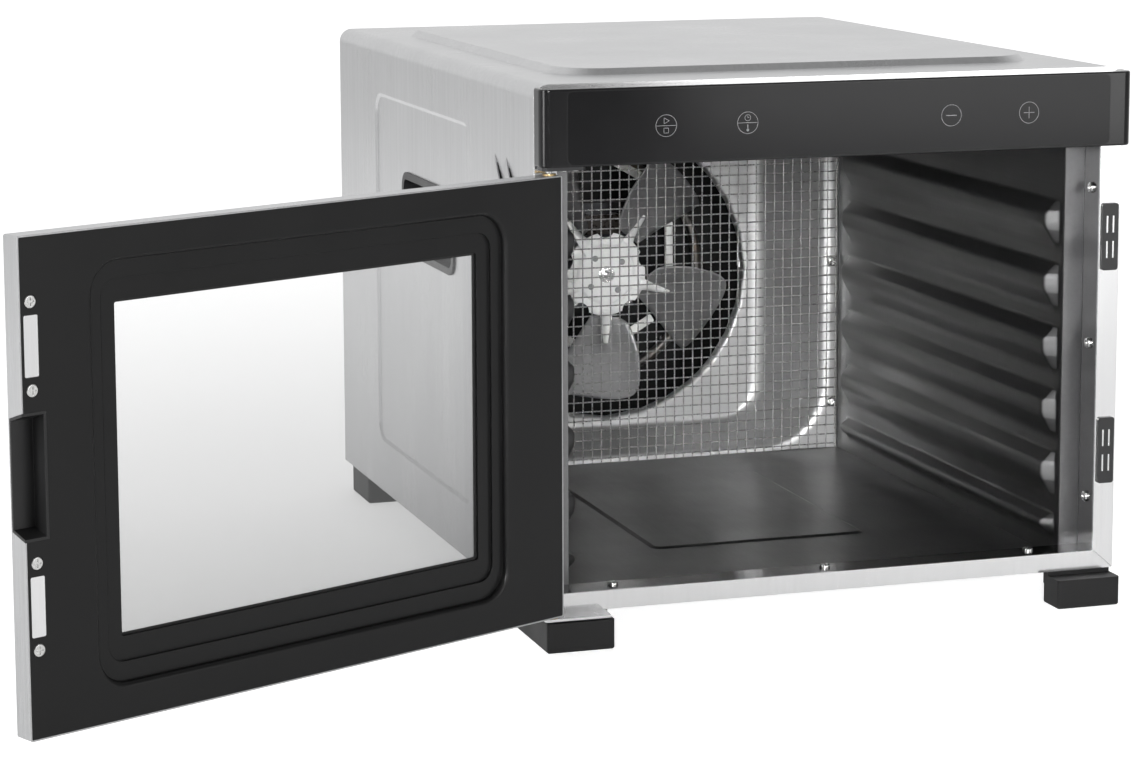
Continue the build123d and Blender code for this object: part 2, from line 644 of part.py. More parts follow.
def rear_standoffs():
    """Long studs that hold the motor, and plain posts that hold the heater, off the rear panel."""
    studs = []
    for x, z in MOTOR_POSTS:
        stud = rod_y(x, z, 1.9, CORE_FRONT - 4.5, REAR_PANEL_Y)
        stud += rod_y(x, z, 3.4, CORE_FRONT - BEARING_PLATE - 1.5, CORE_FRONT - BEARING_PLATE)
        stud += rod_y(x, z, 3.4, CORE_BACK + BEARING_PLATE, REAR_PANEL_Y)
        studs.append(stud - rod_y(x, z, SMALL_HOLE, REAR_PANEL_Y - 4, REAR_PANEL_Y + 1))
    for angle in (45, 135, 225, 315):
        x = HEATER_RADIUS * cos(radians(angle))
        z = FAN_Z + HEATER_RADIUS * sin(radians(angle))
        studs.append(rod_y(x, z, 3.0, HEATER_Y + HEATER_TUBE, REAR_PANEL_Y))
    return studs


HEATER_RADIUS = 74.0
HEATER_TUBE = 3.2
HEATER_Y = 428.2
HEATER_STRIPS = ((0, 53, 30), (60, 70, 25), (120, 70, 25), (180, 53, 30), (240, 51, 18), (300, 51, 18))


def heater_element():
    """Sheathed heating tube bent to a ring behind the blades, open at the bottom."""
    ring = Pos(0, HEATER_Y, FAN_Z) * Rot(90, 0, 0) * Torus(HEATER_RADIUS, HEATER_TUBE)
    gap = block(-12, 12, HEATER_Y - 8, HEATER_Y + 8, FAN_Z - 90, FAN_Z - 60)
    ring -= gap
    depth = (HEATER_RADIUS**2 - 12**2) ** 0.5
    for side in SIDES:
        ring += rod_y(side * 15, FAN_Z - depth + 1.0, 2.6, HEATER_Y, HEATER_Y + 4)
    return ring


def heater_plates():
    """Six flat reflector strips that carry the heating ring."""
    strips = []
    near = HEATER_Y - HEATER_TUBE - 1.0
    for angle, distance, half_length in HEATER_STRIPS:
        strip = block(distance - 2.8, distance + 2.8, 0, 1.0, -half_length, half_length)
        strip = fillet(strip.edges().filter_by(Axis.Y), 1.2)
        strips.append(Pos(0, near, FAN_Z) * Rot(0, -angle, 0) * strip)
    return strips


def thermal_cutout():
    """Disc thermostat on the back of the pan floor, with its two tabs."""
    y = PAN_FLOOR_Y + LINER_SHEET
    disc = rod_y(92.0, 222.0, 8.0, y, y + 7)
    disc += rod_y(92.0, 222.0, 5.0, y + 7, y + 10)
    return disc + block(86, 88.5, y + 4, y + 14, 221, 223) + block(95.5, 98, y + 4, y + 14, 221, 223)


def temperature_sensor():
    """Bead sensor on the pan's flange, above the mesh's top corner."""
    y = PAN_FLANGE_Y + LINER_SHEET
    bead = rod_y(143.5, 254.0, 2.2, y, y + 12)
    return bead + Pos(143.5, y + 12, 254.0) * Sphere(2.2)


# ---- Power inlet and electronics --------------------------------------------------------------
def power_inlet():
    """Appliance inlet: flange outside the rear panel and a socket body inside."""
    outside = BODY_DEPTH + INLET_FLANGE
    flange = front_slab(INLET_X - 25, INLET_X + 25, BODY_DEPTH, outside, INLET_Z - 12, INLET_Z + 12, 4)
    body = front_slab(INLET_X - 13.5, INLET_X + 13.5, 412, BODY_DEPTH, INLET_Z - 10, INLET_Z + 10, 3)
    socket = front_slab(INLET_X - 11.5, INLET_X + 11.5, 417, 440, INLET_Z - 8, INLET_Z + 8, 2)
    inlet = flange + body - socket
    for x in (INLET_X - 20, INLET_X + 20):
        inlet -= rod_y(x, INLET_Z, LINER_HOLE, 430, 440)
    for x, z in INLET_PINS:
        inlet -= block(x - 2, x + 2, 410, 418, z - 1, z + 1)
    return inlet


INLET_PINS = ((INLET_X - 7, INLET_Z - 2.5), (INLET_X, INLET_Z + 2.5), (INLET_X + 7, INLET_Z - 2.5))


def inlet_pins():
    return [block(x - 2, x + 2, 407, 429, z - 1, z + 1) for x, z in INLET_PINS]


BOARD_Z = CAVITY_TOP + LINER_SHEET + 7.0
BOARD_THICKNESS = 1.6
BOARD = dict(x0=-55.0, x1=55.0, y0=60.0, y1=150.0)
BOARD_POSTS = [(x, y) for x in (-50.0, 50.0) for y in (65.0, 145.0)]


def power_board():
    """Power board over the cavity ceiling."""
    board = block(BOARD["x0"], BOARD["x1"], BOARD["y0"], BOARD["y1"], BOARD_Z, BOARD_Z + BOARD_THICKNESS)
    for x, y in BOARD_POSTS:
        board -= rod_z(x, y, SMALL_HOLE, BOARD_Z - 1, BOARD_Z + 3)
    return board


def power_board_parts():
    """Transformer, relay, capacitor, fuse holder and terminal block standing on the board."""
    base = BOARD_Z + BOARD_THICKNESS
    terminal = block(-46, -12, 128, 140, base, base + 10)
    for index in range(4):
        terminal -= rod_z(-41.5 + index * 8.3, 134, 2.0, base + 4, base + 11)
    return [
        fillet(block(10, 42, 70, 98, base, base + 22).edges().filter_by(Axis.Z), 2),
        block(-40, -22, 72, 88, base, base + 16),
        Pos(-8, 84, base) * Pos(0, 0, 9) * Cylinder(6, 18),
        fillet(block(12, 34, 118, 125, base, base + 8).edges().filter_by(Axis.X), 2),
        terminal,
    ]


def board_posts():
    """Spacers between the cavity ceiling and the power board."""
    bottom = CAVITY_TOP + LINER_SHEET
    found = []
    for x, y in BOARD_POSTS:
        post = rod_z(x, y, 3.0, bottom, BOARD_Z)
        found.append(post - rod_z(x, y, SMALL_HOLE, bottom - 1, BOARD_Z + 1))
    return found


# ---- Control bar ----------------------------------------------------------------------------
FILM_HALF = 158.0
FILM_THICKNESS = 0.5
DISPLAY_HALF = 32.0


def control_housing():
    """Black bar over the cavity, hollow behind, with a shallow seat for the touch film."""
    bar = block(-HALF, HALF, -BAR_DEPTH, 0, BAR_BOTTOM, BAR_TOP)
    bar = fillet(bar.edges().filter_by(Axis.Z).group_by(Axis.Y)[0], 6.0)
    rims = bar.faces().sort_by(Axis.Z)
    bar = fillet(rims[0].edges().group_by(Axis.Y)[0] + rims[-1].edges().group_by(Axis.Y)[0], 1.0)
    bar -= block(-HALF + 6, HALF - 6, -BAR_DEPTH + 3, 1, BAR_BOTTOM + 3, BAR_TOP - 3)
    bar -= front_slab(
        -FILM_HALF, FILM_HALF, -20, -BAR_DEPTH + FILM_THICKNESS, BAR_BOTTOM + 1.5, BAR_TOP - 1.5, 3
    )
    bar -= block(-DISPLAY_HALF, DISPLAY_HALF, -BAR_DEPTH - 1, -5, 273, 295)
    for x, y in UPPER_HINGE_SCREWS:
        bar -= rod_z(x, y, SMALL_HOLE, BAR_BOTTOM - 1, BAR_BOTTOM + 4)
    return bar


def touch_panel():
    """Gloss touch film with four key areas, flush in the bar's front."""
    y0 = -BAR_DEPTH
    return front_slab(
        -FILM_HALF, FILM_HALF, y0, y0 + FILM_THICKNESS, BAR_BOTTOM + 1.5, BAR_TOP - 1.5, 3
    )


def display_module():
    """Unlit number display behind the film's centre."""
    y0 = -BAR_DEPTH + FILM_THICKNESS
    return block(-DISPLAY_HALF + 1, DISPLAY_HALF - 1, y0, -9, 274, 294)


def control_board():
    return block(-125, 125, -9, -7.4, 268, 299)


def key_pads():
    """Four sprung touch-sensor pads between the control board and the film."""
    return [rod_y(x, 283.3, 6.0, -BAR_DEPTH + 3, -9) for x in (-103.2, -56.9, 62.0, 108.7)]


# ---- Magnetic catches -----------------------------------------------------------------------
CATCH_X0 = 161.3
CATCH_X1 = 171.2
CATCH_SPANS = ((68.5, 106.5), (191.0, 229.0))
CATCH_PROUD = 1.5
POLE_HALF_HEIGHT = 4.8


def pole_slots(z0, z1):
    """The four pole plates of one catch, two columns of two."""
    middle = (z0 + z1) / 2
    centre_x = (CATCH_X0 + CATCH_X1) / 2
    found = []
    for x in (centre_x - 1.9, centre_x + 1.9):
        for z in (middle - 7.2, middle + 7.2):
            found.append((x - 0.6, x + 0.6, z - POLE_HALF_HEIGHT, z + POLE_HALF_HEIGHT))
    return found


def magnet_catches():
    """Two black catch housings set in the right-hand face strip."""
    found = []
    for z0, z1 in CATCH_SPANS:
        body = front_slab(CATCH_X0, CATCH_X1, -CATCH_PROUD, 0, z0, z1, 1.6)
        body += block(CATCH_X0 + 1.2, CATCH_X1 - 1.2, 0, 8, z0 + 2, z1 - 2)
        for x0, x1, low, high in pole_slots(z0, z1):
            body -= block(x0, x1, -CATCH_PROUD - 1, 6, low, high)
        found.append(body)
    return found


def catch_poles():
    slots = [slot for z0, z1 in CATCH_SPANS for slot in pole_slots(z0, z1)]
    return [block(x0, x1, -CATCH_PROUD + 0.3, 6, low, high) for x0, x1, low, high in slots]


# ---- Door hinges ----------------------------------------------------------------------------
UPPER_HINGE_SCREWS = ((-158.0, -4.5), (-151.5, -4.5))
LOWER_HINGE_SCREWS = ((-144.5, 14.0), (-137.5, 14.0))
LOWER_PLATE_BOTTOM = 17.2
UPPER_PLATE_BOTTOM = 261.1


def upper_hinge_bracket():
    """Black plate under the control bar that carries the upper pin."""
    plate = block(-171.5, -147.5, -BAR_DEPTH + 1, -0.2, UPPER_PLATE_BOTTOM, BAR_BOTTOM)
    plate = fillet(plate.edges().filter_by(Axis.Z), 2.5)
    for x, y in UPPER_HINGE_SCREWS:
        plate -= rod_z(x, y, SMALL_HOLE, 260, 264)
    return plate - rod_z(PIVOT_X, PIVOT_Y, PIN_RADIUS, 260, 264)


def lower_hinge_plate_blank():
    plate = block(-171.0, -133.5, -BAR_DEPTH + 1, 6.0, LOWER_PLATE_BOTTOM, BODY_BOTTOM)
    plate += block(-150.5, -133.5, 6.0, 20.0, LOWER_PLATE_BOTTOM, BODY_BOTTOM)
    return fillet(plate.edges().filter_by(Axis.Z), 1.5)


def lower_hinge_plate():
    """Bright plate between the cabinet and the front left foot that carries the lower pin."""
    plate = lower_hinge_plate_blank()
    for x, y in LOWER_HINGE_SCREWS:
        plate -= rod_z(x, y, SMALL_HOLE, 16, 19)
    return plate - rod_z(PIVOT_X, PIVOT_Y, PIN_RADIUS, 16, 19)


def hinge_pins():
    lower = rod_z(PIVOT_X, PIVOT_Y, PIN_RADIUS, LOWER_PLATE_BOTTOM, 30.0)
    upper = rod_z(PIVOT_X, PIVOT_Y, PIN_RADIUS, 248.0, BAR_BOTTOM)
    return [lower, upper]


# ---- Door, drawn closed -----------------------------------------------------------------------
POCKET_LOW = 115.0
POCKET_HIGH = 176.0
POCKET_WIDTH = 13.4
POCKET_SLANT = 3.6  # how much shorter the pocket is at its bottom, at each end
POCKET_WALL = 1.5
STRIKE_CENTRES = (83.7, 207.0)
STRIKE_X = DOOR_RIGHT - 6.2
STRIKE_SCREW_OFFSET = 20.8
STRIKE_SCREW_SINK = 0.8  # the heads sit in shallow seats, so that they clear the catches
WINDOW_INSET = 56.0
GLASS_THICKNESS = 3.0
SEAL_THICKNESS = 1.0
BUSH_SPANS = ((DOOR_BOTTOM, 31.0, DOOR_BOTTOM - 0.8), (247.0, DOOR_TOP, DOOR_TOP))


def door_slab(inset_x, low, high, y0, y1, radius):
    """A rounded slab centred in the door's width, inset from its two side edges."""
    return front_slab(DOOR_LEFT + inset_x, DOOR_RIGHT - inset_x, y0, y1, low, high, radius)


def pocket_prism(x0, x1, y0, inset):
    """The finger pocket's room from y0 to past the inner face, its ends slanting outwards."""
    reach = DOOR_INNER_Y - (DOOR_OUTER_Y + DOOR_SKIN)
    rise = POCKET_SLANT / reach
    y1 = DOOR_INNER_Y + 1.0
    low = [(y, POCKET_LOW + inset + rise * (DOOR_INNER_Y - y)) for y in (y0, y1)]
    high = [(y, POCKET_HIGH - inset - rise * (DOOR_INNER_Y - y)) for y in (y1, y0)]
    profile = make_face(Polyline(*low, *high, close=True))
    side_plane = Plane(origin=(x0, 0, 0), x_dir=(0, 1, 0), z_dir=(1, 0, 0))
    return extrude(side_plane * profile, amount=x1 - x0)


def door_outer_skin():
    """Brushed steel pan: the door's outer face, window opening and four folded edges."""
    t = DOOR_SKIN
    y0 = DOOR_OUTER_Y
    skin = door_slab(0, DOOR_BOTTOM, DOOR_TOP, y0, DOOR_INNER_Y, 1.2)
    skin -= door_slab(t, DOOR_BOTTOM + t, DOOR_TOP - t, y0 + t, DOOR_INNER_Y + 1, 0.5)
    skin -= door_slab(WINDOW_INSET - 2, 57.5, 224.4, y0 - 1, y0 + 2, 4)
    skin -= pocket_prism(DOOR_RIGHT - 2, DOOR_RIGHT + 1, y0 + t, 0.0)
    return skin - door_bush_envelopes()


def door_bush_envelopes():
    low = rod_z(PIVOT_X, PIVOT_Y, BUSH_RADIUS, DOOR_BOTTOM - 1, BUSH_SPANS[0][1])
    return low + rod_z(PIVOT_X, PIVOT_Y, BUSH_RADIUS, BUSH_SPANS[1][0], DOOR_TOP + 1)


def door_inner_panel():
    """Black moulded inner panel with a stepped, rounded recess round the window."""
    t = DOOR_SKIN
    back = DOOR_OUTER_Y + t
    face = DOOR_INNER_Y
    panel = door_slab(t, DOOR_BOTTOM + t, DOOR_TOP - t, back, face, 0.5)
    panel -= door_slab(40.6, 38.0, 242.0, face - 3.6, face + 1, 16.0)
    panel -= door_slab(47.5, 47.5, 233.0, face - 5.2, face + 1, 9.0)
    panel -= door_slab(WINDOW_INSET, 59.5, 222.4, back - 1, face + 1, 1.5)
    rim = panel.edges().group_by(Axis.Y)[-1].filter_by(lambda edge: abs(edge.center().X) < 129.5)
    panel = fillet(rim.filter_by(lambda edge: 30.0 < edge.center().Z < 250.0), 2.4)
    panel -= door_slab(WINDOW_INSET - 6.3, 53.2, 228.7, back - 1, glass_inner_y() + SEAL_THICKNESS, 3.3)
    relief = door_slab(10.0, DOOR_BOTTOM + 10.0, DOOR_TOP - 10.0, back - 1, face - 2.2, 6.0)
    relief -= door_slab(38.0, 35.4, 244.6, back - 2, face, 18.0)
    pocket_room = block(DOOR_RIGHT - POCKET_WIDTH - 3, DOOR_RIGHT, -20, 0, POCKET_LOW - 3, POCKET_HIGH + 3)
    panel -= relief - pocket_room
    panel -= pocket_prism(DOOR_RIGHT - POCKET_WIDTH, DOOR_RIGHT + 1, back - 1, 0.0)
    for z in STRIKE_CENTRES:
        panel -= strike_blank(z)
        for step in SIDES:
            screw_z = z + step * STRIKE_SCREW_OFFSET
            panel -= rod_y(STRIKE_X, screw_z, SMALL_HOLE, face - 4.5, face + 1)
            panel -= rod_y(STRIKE_X, screw_z, 3.3, face - STRIKE_SCREW_SINK, face + 1)
    return panel - door_bush_envelopes()


def glass_inner_y():
    return DOOR_OUTER_Y + DOOR_SKIN + GLASS_THICKNESS


def door_glass():
    """Clear toughened pane behind the steel window opening."""
    y0 = DOOR_OUTER_Y + DOOR_SKIN
    return door_slab(WINDOW_INSET - 6, 53.5, 228.4, y0, glass_inner_y(), 3)


def glass_seal():
    """Flat black seal ring between the pane and the inner panel."""
    y0 = glass_inner_y()
    ring = door_slab(WINDOW_INSET - 6, 53.5, 228.4, y0, y0 + SEAL_THICKNESS, 3)
    return ring - door_slab(WINDOW_INSET + 1.2, 60.7, 221.2, y0 - 1, y0 + 2, 1)


def strike_blank(z):
    x0 = STRIKE_X - 3.85
    return front_slab(x0, x0 + 7.7, DOOR_INNER_Y - 1.0, DOOR_INNER_Y, z - 14.5, z + 14.5, 0.8)


def door_strikes():
    """Two steel plates that the magnetic catches hold."""
    return [strike_blank(z) for z in STRIKE_CENTRES]


def strike_screws():
    found = []
    for z in STRIKE_CENTRES:
        for step in SIDES:
            spot = Pos(STRIKE_X, DOOR_INNER_Y - STRIKE_SCREW_SINK, z + step * STRIKE_SCREW_OFFSET)
            found.append(spot * TURN_TO["+y"] * screw(3.2, 1.1, 1.0, 3.2))
    return found


def finger_pocket():
    """Black insert in the free edge, open to the inner face and the edge, to pull the door by."""
    x0 = DOOR_RIGHT - POCKET_WIDTH
    y0 = DOOR_OUTER_Y + DOOR_SKIN
    cup = pocket_prism(x0, DOOR_RIGHT, y0, 0.0)
    cup -= block(x0 - 1, DOOR_RIGHT + 1, DOOR_INNER_Y, 0, POCKET_LOW - 5, POCKET_HIGH + 5)
    hollow = pocket_prism(x0 + POCKET_WALL, DOOR_RIGHT + 1, y0 + 1.2, POCKET_WALL)
    return cup - hollow


def door_bushes():
    """Flanged bushes at the door's lower and upper corner, running on the fixed pins."""
    found = []
    for low, high, flange_base in BUSH_SPANS:
        bush = rod_z(PIVOT_X, PIVOT_Y, BUSH_RADIUS, low, high)
        bush += rod_z(PIVOT_X, PIVOT_Y, 3.6, flange_base, flange_base + 0.8)
        found.append(bush - rod_z(PIVOT_X, PIVOT_Y, PIN_RADIUS + RUNNING_CLEARANCE, 10, 270))
    return found


# ---- Output ---------------------------------------------------------------------------------
FIXED_NODES = {
    "outer_shell": outer_shell,
    "front_frame": front_frame,
    "base_panel": base_panel,
    "rear_panel": rear_panel,
    "rear_panel_screws": rear_screws,
    "left_hand_hold": lambda: hand_hold(-1),
    "right_hand_hold": lambda: hand_hold(1),
    "front_left_foot": lambda: foot(-1, True),
    "front_right_foot": lambda: foot(1, True),
    "rear_left_foot": lambda: foot(-1, False),
    "rear_right_foot": lambda: foot(1, False),
    "foot_screws": foot_screws,
    "cavity_collar": cavity_collar,
    "left_rail_wall": lambda: mirror_x(right_rail_wall()),
    "right_rail_wall": right_rail_wall,
    "cavity_floor": cavity_floor,
    "cavity_ceiling": cavity_ceiling,
    "frame_screws": side_screws,
    "mesh_guard": mesh_guard,
    "mesh_screws": mesh_screws,
    "fan_pan": fan_pan,
    "motor_core": motor_core,
    "motor_coil": motor_coil,
    "motor_bearings": motor_bearings,
    "rear_standoffs": rear_standoffs,
    "heater_element": heater_element,
    "heater_plates": heater_plates,
    "thermal_cutout": thermal_cutout,
    "temperature_sensor": temperature_sensor,
    "power_inlet": power_inlet,
    "inlet_pins": inlet_pins,
    "power_board": power_board,
    "power_board_parts": power_board_parts,
    "board_posts": board_posts,
    "control_housing": control_housing,
    "touch_panel": touch_panel,
    "display_module": display_module,
    "control_board": control_board,
    "key_pads": key_pads,
    "magnet_catches": magnet_catches,
    "catch_poles": catch_poles,
    "upper_hinge_bracket": upper_hinge_bracket,
    "lower_hinge_plate": lower_hinge_plate,
    "hinge_pins": hinge_pins,
    "small_screws": small_screws,
}
FAN_NODES = {
    "fan_blades": fan_blades,
    "fan_hub": fan_hub,
    "fan_rivets": fan_rivets,
    "fan_nut": fan_nut,
    "motor_shaft": motor_shaft,
    "motor_rotor": motor_rotor,
}
DOOR_NODES = {
    "door_outer_skin": door_outer_skin,
    "door_inner_panel": door_inner_panel,
    "door_glass": door_glass,
    "glass_seal": glass_seal,
    "door_strikes": door_strikes,
    "strike_screws": strike_screws,
    "finger_pocket": finger_pocket,
    "door_bushes": door_bushes,
}


def door_pose():
    """Turns the closed door about its pins to the stored open pose."""
    return Pos(PIVOT_X, PIVOT_Y, 0) * Rot(0, 0, -DOOR_OPEN_ANGLE) * Pos(-PIVOT_X, -PIVOT_Y, 0)


def write(name, shape, pose):
    """Write one node's solids, with the origin at the centre of the cabinet's footprint."""
    to_origin = Pos(0, -BODY_DEPTH / 2, 0) * pose
    pieces = shape if isinstance(shape, list) else [shape]
    solids = [to_origin * solid for piece in pieces for solid in piece.solids()]
    export_step(Compound(label=name, children=solids), f"parts/{name}.step")


def main():
    os.makedirs("parts", exist_ok=True)
    for name, make in {**FIXED_NODES, **FAN_NODES}.items():
        write(name, make(), Pos(0, 0, 0))
    for name, make in DOOR_NODES.items():
        write(name, make(), door_pose())


main()
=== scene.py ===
"""Looks for a countertop food dehydrator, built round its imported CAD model.

Lengths are in metres and the frame is the CAD model's: x to the right, y to the back, z up, with
the origin on the worktop under the cabinet's middle. The door stands open and the fan is at rest.
"""

import sys
import json
from math import atan2, cos, pi, radians, sin

import bpy
from mathutils import Matrix, Vector
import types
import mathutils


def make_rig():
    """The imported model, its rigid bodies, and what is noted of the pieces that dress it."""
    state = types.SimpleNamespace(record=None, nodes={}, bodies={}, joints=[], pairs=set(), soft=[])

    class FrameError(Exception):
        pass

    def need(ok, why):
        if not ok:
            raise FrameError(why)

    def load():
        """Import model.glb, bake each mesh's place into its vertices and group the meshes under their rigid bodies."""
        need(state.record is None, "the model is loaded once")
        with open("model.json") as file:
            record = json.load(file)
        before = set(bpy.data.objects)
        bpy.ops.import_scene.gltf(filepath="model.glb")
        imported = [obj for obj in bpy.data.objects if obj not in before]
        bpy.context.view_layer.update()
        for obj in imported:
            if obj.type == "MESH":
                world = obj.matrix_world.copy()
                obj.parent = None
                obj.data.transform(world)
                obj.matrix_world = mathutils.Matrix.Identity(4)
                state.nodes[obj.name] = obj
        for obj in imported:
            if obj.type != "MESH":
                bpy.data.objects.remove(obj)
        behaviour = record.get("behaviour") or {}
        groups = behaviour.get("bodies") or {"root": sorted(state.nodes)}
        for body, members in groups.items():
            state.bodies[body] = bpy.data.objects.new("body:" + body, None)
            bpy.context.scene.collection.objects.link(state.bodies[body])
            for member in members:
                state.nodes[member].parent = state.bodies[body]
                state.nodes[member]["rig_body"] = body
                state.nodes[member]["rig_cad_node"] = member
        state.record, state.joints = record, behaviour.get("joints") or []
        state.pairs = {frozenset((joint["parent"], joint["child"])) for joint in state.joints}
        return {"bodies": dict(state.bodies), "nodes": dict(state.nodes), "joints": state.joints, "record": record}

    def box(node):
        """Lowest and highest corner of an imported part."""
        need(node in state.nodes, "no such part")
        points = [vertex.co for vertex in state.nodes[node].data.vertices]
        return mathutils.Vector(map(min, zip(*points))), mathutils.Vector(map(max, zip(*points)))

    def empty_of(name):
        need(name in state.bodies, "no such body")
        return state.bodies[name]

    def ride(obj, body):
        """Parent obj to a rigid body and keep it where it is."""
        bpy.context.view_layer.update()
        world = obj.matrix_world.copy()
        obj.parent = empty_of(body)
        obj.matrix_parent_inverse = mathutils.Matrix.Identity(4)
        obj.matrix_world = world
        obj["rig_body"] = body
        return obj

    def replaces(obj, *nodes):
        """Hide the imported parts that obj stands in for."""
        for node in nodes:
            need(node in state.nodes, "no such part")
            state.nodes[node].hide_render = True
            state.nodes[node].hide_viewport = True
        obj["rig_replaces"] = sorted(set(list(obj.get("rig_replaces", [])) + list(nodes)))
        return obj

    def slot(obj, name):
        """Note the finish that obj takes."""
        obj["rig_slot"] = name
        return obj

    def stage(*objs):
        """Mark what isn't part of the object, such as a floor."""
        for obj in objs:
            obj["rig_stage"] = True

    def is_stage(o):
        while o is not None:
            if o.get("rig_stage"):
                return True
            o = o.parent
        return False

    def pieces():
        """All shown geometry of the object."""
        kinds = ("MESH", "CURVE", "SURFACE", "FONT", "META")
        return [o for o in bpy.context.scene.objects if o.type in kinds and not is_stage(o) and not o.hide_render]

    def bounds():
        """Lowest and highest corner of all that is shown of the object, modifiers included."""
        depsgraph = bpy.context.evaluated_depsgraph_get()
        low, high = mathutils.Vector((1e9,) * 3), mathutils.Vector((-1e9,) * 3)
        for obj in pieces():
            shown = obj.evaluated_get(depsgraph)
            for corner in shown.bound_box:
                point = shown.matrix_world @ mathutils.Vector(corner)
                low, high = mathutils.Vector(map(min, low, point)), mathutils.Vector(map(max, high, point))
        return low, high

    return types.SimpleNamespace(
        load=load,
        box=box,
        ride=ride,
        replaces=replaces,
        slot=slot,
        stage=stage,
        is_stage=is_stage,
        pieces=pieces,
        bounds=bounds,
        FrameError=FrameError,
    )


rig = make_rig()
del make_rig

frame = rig.load()
cad_low, cad_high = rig.bounds()

MM = 0.001
NODES = frame["nodes"]
RECORD = frame["record"]
SLOT_OF = {row["node"]: row["material_slot"] for row in RECORD["subparts"]}
JOINTS = {joint["name"]: joint for joint in frame["joints"]}
FAN_CENTRE = Vector(JOINTS["fan_spin"]["pos_m"])
TRAY_SLIDES = [m["pos_m"] for m in RECORD["mounts"] if m["name"].startswith("tray_level")]


# ---- Shader helpers ---------------------------------------------------------------------------
class Finish:
    """One material, and short ways to add texture to it. Texture sizes are in metres."""

    def __init__(self, name, colour, roughness, metallic=0.0, soft=0.0, **sockets):
        self.material = bpy.data.materials.new(name)
        self.material.use_nodes = True
        self.tree = self.material.node_tree
        self.surface = self.tree.nodes["Principled BSDF"]
        self.colour = colour
        self.roughness = roughness
        self.surface.inputs["Base Color"].default_value = (*colour, 1.0)
        self.surface.inputs["Roughness"].default_value = roughness
        self.surface.inputs["Metallic"].default_value = metallic
        for socket, value in sockets.items():
            self.surface.inputs[socket.replace("_", " ")].default_value = value
        self.space = self.tree.nodes.new("ShaderNodeTexCoord").outputs["Object"]
        if soft:
            rounded = self.add("Bevel", {"Radius": soft}, samples=4)
            self.tree.links.new(rounded.outputs[0], self.surface.inputs["Normal"])

    def add(self, kind, links=None, **settings):
        node = self.tree.nodes.new("ShaderNode" + kind)
        for key, value in settings.items():
            setattr(node, key, value)
        for socket, value in (links or {}).items():
            if isinstance(value, bpy.types.NodeSocket):
                self.tree.links.new(value, node.inputs[socket])
            else:
                node.inputs[socket].default_value = value
        return node

    def noise(self, size, stretch=(1, 1, 1), detail=2.0, roughness=0.5, offset=0.0):
        """Soft noise with features of that size, drawn out along the axes by stretch."""
        scale = [1.0 / (size * share) for share in stretch]
        place = self.add("Mapping", {"Vector": self.space, "Scale": scale, "Location": [offset] * 3})
        links = {"Vector": place.outputs[0], "Scale": 1.0, "Detail": detail, "Roughness": roughness}
        return self.add("TexNoise", links).outputs[0]

    def spread(self, field, low, high, at=(0.3, 0.7)):
        """The field's values, drawn out to run from low to high."""
        links = {"Value": field, "From Min": at[0], "From Max": at[1], "To Min": low, "To Max": high}
        return self.add("MapRange", links).outputs[0]

    def tone(self, field, low=0.92, high=1.05, at=(0.3, 0.7)):
        """Makes the colour lighter and darker by the field."""
        shade = self.spread(field, low, high, at)
        before = self.surface.inputs["Base Color"]
        mix = self.add("Mix", {"Factor": 1.0}, data_type="RGBA", blend_type="MULTIPLY")
        if before.links:
            self.tree.links.new(before.links[0].from_socket, mix.inputs[6])
        else:
            mix.inputs[6].default_value = (*self.colour, 1.0)
        self.tree.links.new(shade, mix.inputs[7])
        self.tree.links.new(mix.outputs[2], before)
        return self

    def tint(self, mask, colour):
        """Turns the colour to another where the mask is 1."""
        before = self.surface.inputs["Base Color"]
        mix = self.add("Mix", {"Factor": mask}, data_type="RGBA")
        if before.links:
            self.tree.links.new(before.links[0].from_socket, mix.inputs[6])
        else:
            mix.inputs[6].default_value = (*self.colour, 1.0)
        mix.inputs[7].default_value = (*colour, 1.0)
        self.tree.links.new(mix.outputs[2], before)
        return self

    def gloss(self, field, low, high, at=(0.3, 0.7)):
        """Lets the roughness run from low to high by the field."""
        self.tree.links.new(self.spread(field, low, high, at), self.surface.inputs["Roughness"])
        return self

    def relief(self, field, depth, strength=1.0):
        """Adds bump of that depth, in metres, on top of any bump already there."""
        bump = self.add("Bump", {"Height": field, "Distance": depth, "Strength": strength})
        before = self.surface.inputs["Normal"]
        if before.links:
            self.tree.links.new(before.links[0].from_socket, bump.inputs["Normal"])
        self.tree.links.new(bump.outputs[0], before)
        return self

    def edges(self, radius, low=0.03, high=0.25):
        """A mask that is 1 along outward and inward edges within radius."""
        rounded = self.add("Bevel", {"Radius": radius}, samples=4).outputs[0]
        flat = self.add("NewGeometry").outputs["Normal"]
        turned = self.add("VectorMath", {0: rounded, 1: flat}, operation="DOT_PRODUCT")
        apart = self.add("Math", {0: 1.0, 1: turned.outputs["Value"]}, operation="SUBTRACT")
        return self.spread(apart.outputs[0], 0.0, 1.0, (low, high))


def brushed(name, colour, roughness, grain=(1, 1, 90), depth=0.000004, swing=0.07, **sockets):
    """Sheet steel with fine grain lines along the stretched axis and cloudy wiping marks."""
    steel = Finish(name, colour, roughness, metallic=1.0, **sockets)
    lines = steel.noise(0.00028, grain, detail=3.0, roughness=0.7)
    bands = steel.noise(0.0022, grain, detail=2.0, offset=7.0)
    clouds = steel.noise(0.06, (1, 1, 1.6), detail=4.0, offset=3.0)
    steel.tone(lines, 1.0 - swing, 1.0 + swing * 0.5)
    steel.tone(bands, 1.0 - swing * 0.5, 1.0 + swing * 0.3)
    mixed = steel.add("Math", {0: lines, 1: clouds}, operation="ADD").outputs[0]
    steel.gloss(mixed, roughness * 0.82, roughness * 1.2, (0.7, 1.3))
    steel.relief(lines, depth)
    return steel


